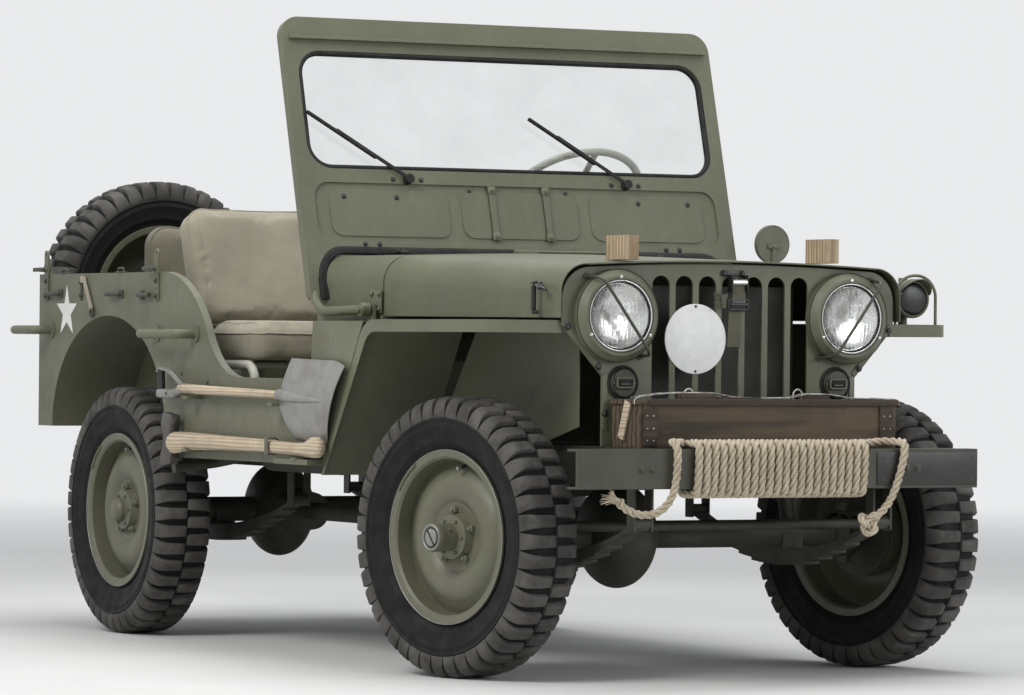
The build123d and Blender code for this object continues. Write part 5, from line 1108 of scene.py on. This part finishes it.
# Mirror glass and clamp, tail lamps, cowl clamps, dashboard dials
MIRROR_Y, MIRROR_Z = 748, 1134
mirror_profile = [(49, -0.2), (49, 0.8), (47, 1.4), (0.01, 1.4), (0.01, -0.2)]
shine = turned(mirror_profile, 48).place(facing((356, MIRROR_Y, MIRROR_Z), REAR))
clamp = ring((357, MIRROR_Y, MIRROR_Z), FORE, 51, 2.6, 48, 8)
clamp.merge(
    ring((367, MIRROR_Y, MIRROR_Z), FORE, 51.5, 2, 48, 8), slab((9, 36, 14), 3, (371, MIRROR_Y, 1128)),
    bolt((375, MIRROR_Y, 1128), FORE, 5.5, 7),
)
TAIL_X, TAIL_Y, TAIL_Z = -1513, 610, 700
tail_profile = [(34, -0.4), (34, 2), (29, 6.5), (16, 9.5), (0.01, 10.4), (0.01, -0.4)]
red, rims = Solid(), Solid()
for k in BOTH:
    red.merge(turned(tail_profile, 40), at=facing((TAIL_X, k * TAIL_Y, TAIL_Z), REAR))
    rims.merge(ring((TAIL_X - 0.4, k * TAIL_Y, TAIL_Z), FORE, 36.2, 2.6, 48, 8))
    for a in (radians(45), radians(225)):
        rims.merge(rivet((TAIL_X - 2, k * TAIL_Y + 36 * cos(a), TAIL_Z + 36 * sin(a)), REAR, 2.6, 2))
    rims.merge(slab((34, 26, 7), 2.4, (332, k * 398, 1093)), bolt((332, k * 398, 1096), UP, 5.5, 8))
DASH_X, DASH_Z = 330, 1000
dials, bezels = Solid(), Solid()
for y, z, r in ((0, DASH_Z, 43), *((y, DASH_Z + dz, 24) for y in (-84, 84) for dz in (32, -32))):
    dials.merge(turned([(r, -0.3), (r, 2), (0.01, 2), (0.01, -0.3)], 40), at=facing((DASH_X, y, z), REAR))
    bezels.merge(ring((DASH_X - 2, y, z), FORE, r, 3, 40, 8))
    hand = slab((1, 2, r * 0.8), 0.4, (327.3, y + r * 0.2, z + r * 0.25), FORE, (0, 0.8, -0.5))
    bezels.merge(hand, slot=1)
    for a in (radians(-30 + 30 * j) for j in range(9)):
        spot = (327.6, y + r * 0.8 * cos(a), z + r * 0.8 * sin(a))
        bezels.merge(slab((0.8, 1.4, r * 0.14), 0.3, spot, FORE, (0, sin(a), -cos(a))), slot=1)
knob = [(9, -0.3), (9, 6), (6, 9), (6, 16), (11, 18), (11, 26), (9, 28), (0.01, 28), (0.01, -0.3)]
for y in (-250, -200, 160, 200, 470):
    bezels.merge(turned(knob, 20), at=facing((DASH_X, y, 960), REAR))
shine.build("mirror_glass", bright_metal, slot="glass")
clamp.build("mirror_fittings", paint)
red.build("tail_lamp_lenses", red_lens, slot="glass")
rims.build("lamp_rims_and_clamps", black_paint)
dials.build("dash_dials", dial_face)
bezels.build("dash_bezels", black_paint, star_paint)


# Tools on the right side: pressed shovel and long-handled axe
def dished(rows, thick):
    """Closed sheet over a grid of points, its back set off along +Y."""
    high, wide = len(rows), len(rows[0])
    front = [p for row in rows for p in row]
    points = front + [p + Vector((0, thick, 0)) for p in front]
    shift, faces = len(front), []
    for i in range(high - 1):
        for j in range(wide - 1):
            a, b = i * wide + j, (i + 1) * wide + j
            faces += [(a, a + 1, b + 1, b), (shift + b, shift + b + 1, shift + a + 1, shift + a)]
    rim = list(range(wide)) + [(i + 1) * wide - 1 for i in range(1, high)]
    rim += [(high - 1) * wide + j for j in range(wide - 2, -1, -1)]
    rim += [i * wide for i in range(high - 2, 0, -1)]
    faces += [(b, a, shift + a, shift + b) for a, b in zip(rim, rim[1:] + rim[:1])]
    return Solid(points, faces)


TOOL_Y, BLADE_Y, BLADE_ROWS, BLADE_COLUMNS = -732, -709, 24, 16
FRONT_SLOPE = 0.5995  # of the blade's front edge, in x for each z
blade_edge = [(573, 336), (592, 322), (640, 286), (683, 266), (722, 279), (770, 296), (804, 307)]


def edge_x(z):
    """X of the blade's rear edge at a height, from its (z, x) points."""
    for (z0, x0), (z1, x1) in zip(blade_edge, blade_edge[1:]):
        if z <= z1:
            return x0 + (x1 - x0) * max(0, z - z0) / (z1 - z0)
    return blade_edge[-1][1]


rows = []
for v in (i / BLADE_ROWS for i in range(BLADE_ROWS + 1)):
    row = []
    for u in (j / BLADE_COLUMNS for j in range(BLADE_COLUMNS + 1)):
        low, high = 592 - 19 * u, 804 - 6 * u - 12 * max(0, u - 0.8) / 0.2
        z = low + (high - low) * v
        x = edge_x(z) + (465 + (z - 496) * FRONT_SLOPE - edge_x(z)) * u
        bow = 1 - min(1, ((z - 702) / 112) ** 2)
        row.append(Vector((x, BLADE_Y - 20 * bow - 2 * (1 - u) * bow, z)))
    rows.append(row)
shovel = dished(rows, 2.2)
socket = [(262, 17), (275, 17.5), (300, 17), (360, 14), (430, 9.5), (490, 5), (524, 1.5)]
socket_line = [(x, -727 - (17 - r) * 0.15, 704 - (x - 262) * 0.05) for x, r in socket]
yoke = [(x, TOOL_Y, z) for x, z in ((-352, 722), (-396, 742), (-440, 764), (-505, 770), (-520, 762))]
shovel.merge(pipe(socket_line, [r for _, r in socket], 16))
shovel.merge(
    pipe(bent(yoke, 24, 5), 6.5, 10, flat=1.5), slab((118, 26, 26), 8, (-455, TOOL_Y, 700)),
    pipe([(-410, TOOL_Y, 702), (-352, TOOL_Y, 712)], 13, 12), slot=1,
)
shovel.merge(
    pipe([(-505, TOOL_Y, 768), (-500, TOOL_Y, 704)], 11, 12),
    rivet((-440, TOOL_Y - 13, 700), (0, -1, 0), 5, 2.5), slot=2,
)
shaft_outline = [
    # x, distance from the tools' plane, z and radius
    (270, 4, 705, 11), (100, 1, 708, 11.5), (-150, 0, 711, 12.5), (-330, 0, 715, 13.5), (-372, 0, 716, 12),
]
shaft_line = [(x, TOOL_Y + off, z) for x, off, z, _ in shaft_outline]
shaft = pipe(shaft_line, [r for *_, r in shaft_outline], 14)
haft_outline = [
    # x, lowest and highest z of the handle
    (-436, 556, 574), (-430, 541, 587), (-408, 531, 593), (-360, 538, 594), (-297, 544, 594),
    (-100, 549, 590), (170, 550, 585), (373, 545, 580), (430, 543, 581), (462, 541, 588), (485, 541, 597),
    (512, 542, 597), (528, 549, 591), (535, 560, 582),
]
haft_line = [(x, TOOL_Y, (low + high) / 2) for x, low, high in haft_outline]
haft = pipe(haft_line, [(high - low) / 2 for _, low, high in haft_outline], 18, flat=0.78)
HEAD_X, HEAD_Z = -436, 572
head = [
    (-470, 498), (-412, 504), (-404, 520), (-412, 552), (-412, 592), (-400, 622), (-402, 640), (-462, 648),
    (-474, 620), (-458, 592), (-458, 552), (-480, 516),
]
rings = []
for y, squeeze in ((-15, 0.9), (-12, 1.0), (12, 1.0), (15, 0.9)):
    rings.append([
        Vector((HEAD_X + (x - HEAD_X) * squeeze, TOOL_Y + y, HEAD_Z + (z - HEAD_Z) * squeeze))
        for x, z in head
    ])
axe_head = Solid(*strip(rings)).merge(
    outline_pipe(facing((234, TOOL_Y, 567), FORE), 19, 22, 14, 2.6),
    slab((22, 3, 46), 1.2, (234, TOOL_Y - 19, 567)), slot=1,
)
for made, name, node, slot, sharp, materials in (
    (shovel, "shovel_blade_and_grip", "shovel", "chassis_paint", 40, (blade_steel, blade_steel, black_paint)),
    (shaft, "shovel_shaft", "shovel", "wood", 60, (pale_wood,)),
    (haft, "axe_handle", "axe", "wood", 60, (pale_wood,)),
    (axe_head, "axe_head", "axe", "chassis_paint", 35, (dark_steel, webbing)),
):
    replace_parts(made.build(name, *materials, slot=slot, sharp=sharp), node)

# Floor, light and surroundings
BACKDROP, GLOW = rgb(0.86, 0.87, 0.88), 0.95
FLOOR, FADE_NEAR, FADE_FAR = 30000, 4.5, 13
s = Shader("floor", 0.85)
s.set("Base Color", s.mix(s.remap(s.noise(0.9, 4), 0.3, 0.7), rgb(0.66, 0.66, 0.65), rgb(0.72, 0.72, 0.71)))
far = s.node("ShaderNodeVectorMath", {0: s.place}, operation="LENGTH").outputs["Value"]
glow = s.node("ShaderNodeEmission", {"Color": BACKDROP, "Strength": GLOW}).outputs[0]
share = s.remap(far, FADE_NEAR, FADE_FAR)
fade = s.node("ShaderNodeMixShader", {0: share, 1: s.bsdf.outputs[0], 2: glow}).outputs[0]
s.put(s.tree.nodes["Material Output"].inputs["Surface"], fade)
corners = [(x * FLOOR, y * FLOOR, 0) for x, y in ((-1, -1), (1, -1), (1, 1), (-1, 1))]
mesh = Solid(corners, [(0, 1, 2, 3)]).mesh("floor")
mesh.materials.append(s.material)
linked("floor", mesh)

scene.world = bpy.data.worlds.new("studio")
scene.world.use_nodes = True
sky = Nodes(scene.world.node_tree)
sky.tree.nodes.clear()
rays = sky.node("ShaderNodeLightPath").outputs
direct = sky.calc("MAXIMUM", rays["Is Camera Ray"], rays["Is Glossy Ray"])
direct = sky.calc("MAXIMUM", direct, rays["Is Transmission Ray"])
lit = sky.node("ShaderNodeBackground", {"Color": rgb(0.93, 0.95, 1.0), "Strength": 0.42}).outputs[0]
seen = sky.node("ShaderNodeBackground", {"Color": BACKDROP, "Strength": GLOW}).outputs[0]
choice = sky.node("ShaderNodeMixShader", {0: direct, 1: lit, 2: seen}).outputs[0]
sky.node("ShaderNodeOutputWorld", {0: choice})


def lamp(name, place, target, size, power, colour=(1, 1, 1)):
    light = bpy.data.lights.new(name, "AREA")
    light.shape = "RECTANGLE"
    light.size, light.size_y = size
    light.energy = power
    light.color = colour
    holder = linked(name, light)
    holder.location = place
    holder.rotation_mode = "QUATERNION"
    holder.rotation_quaternion = (Vector(target) - Vector(place)).to_track_quat("-Z", "Y")


lamp("key", (2.5, -5.5, 5.2), (0.2, 0, 0.7), (3.2, 2.4), 300, (1, 0.985, 0.96))
lamp("overhead", (-0.5, 0.6, 5.4), (-0.2, 0, 0.5), (4.5, 3.5), 190)
lamp("fill", (6.0, 3.4, 2.4), (0.6, 0.2, 0.7), (3.0, 2.0), 90, (0.96, 0.98, 1))
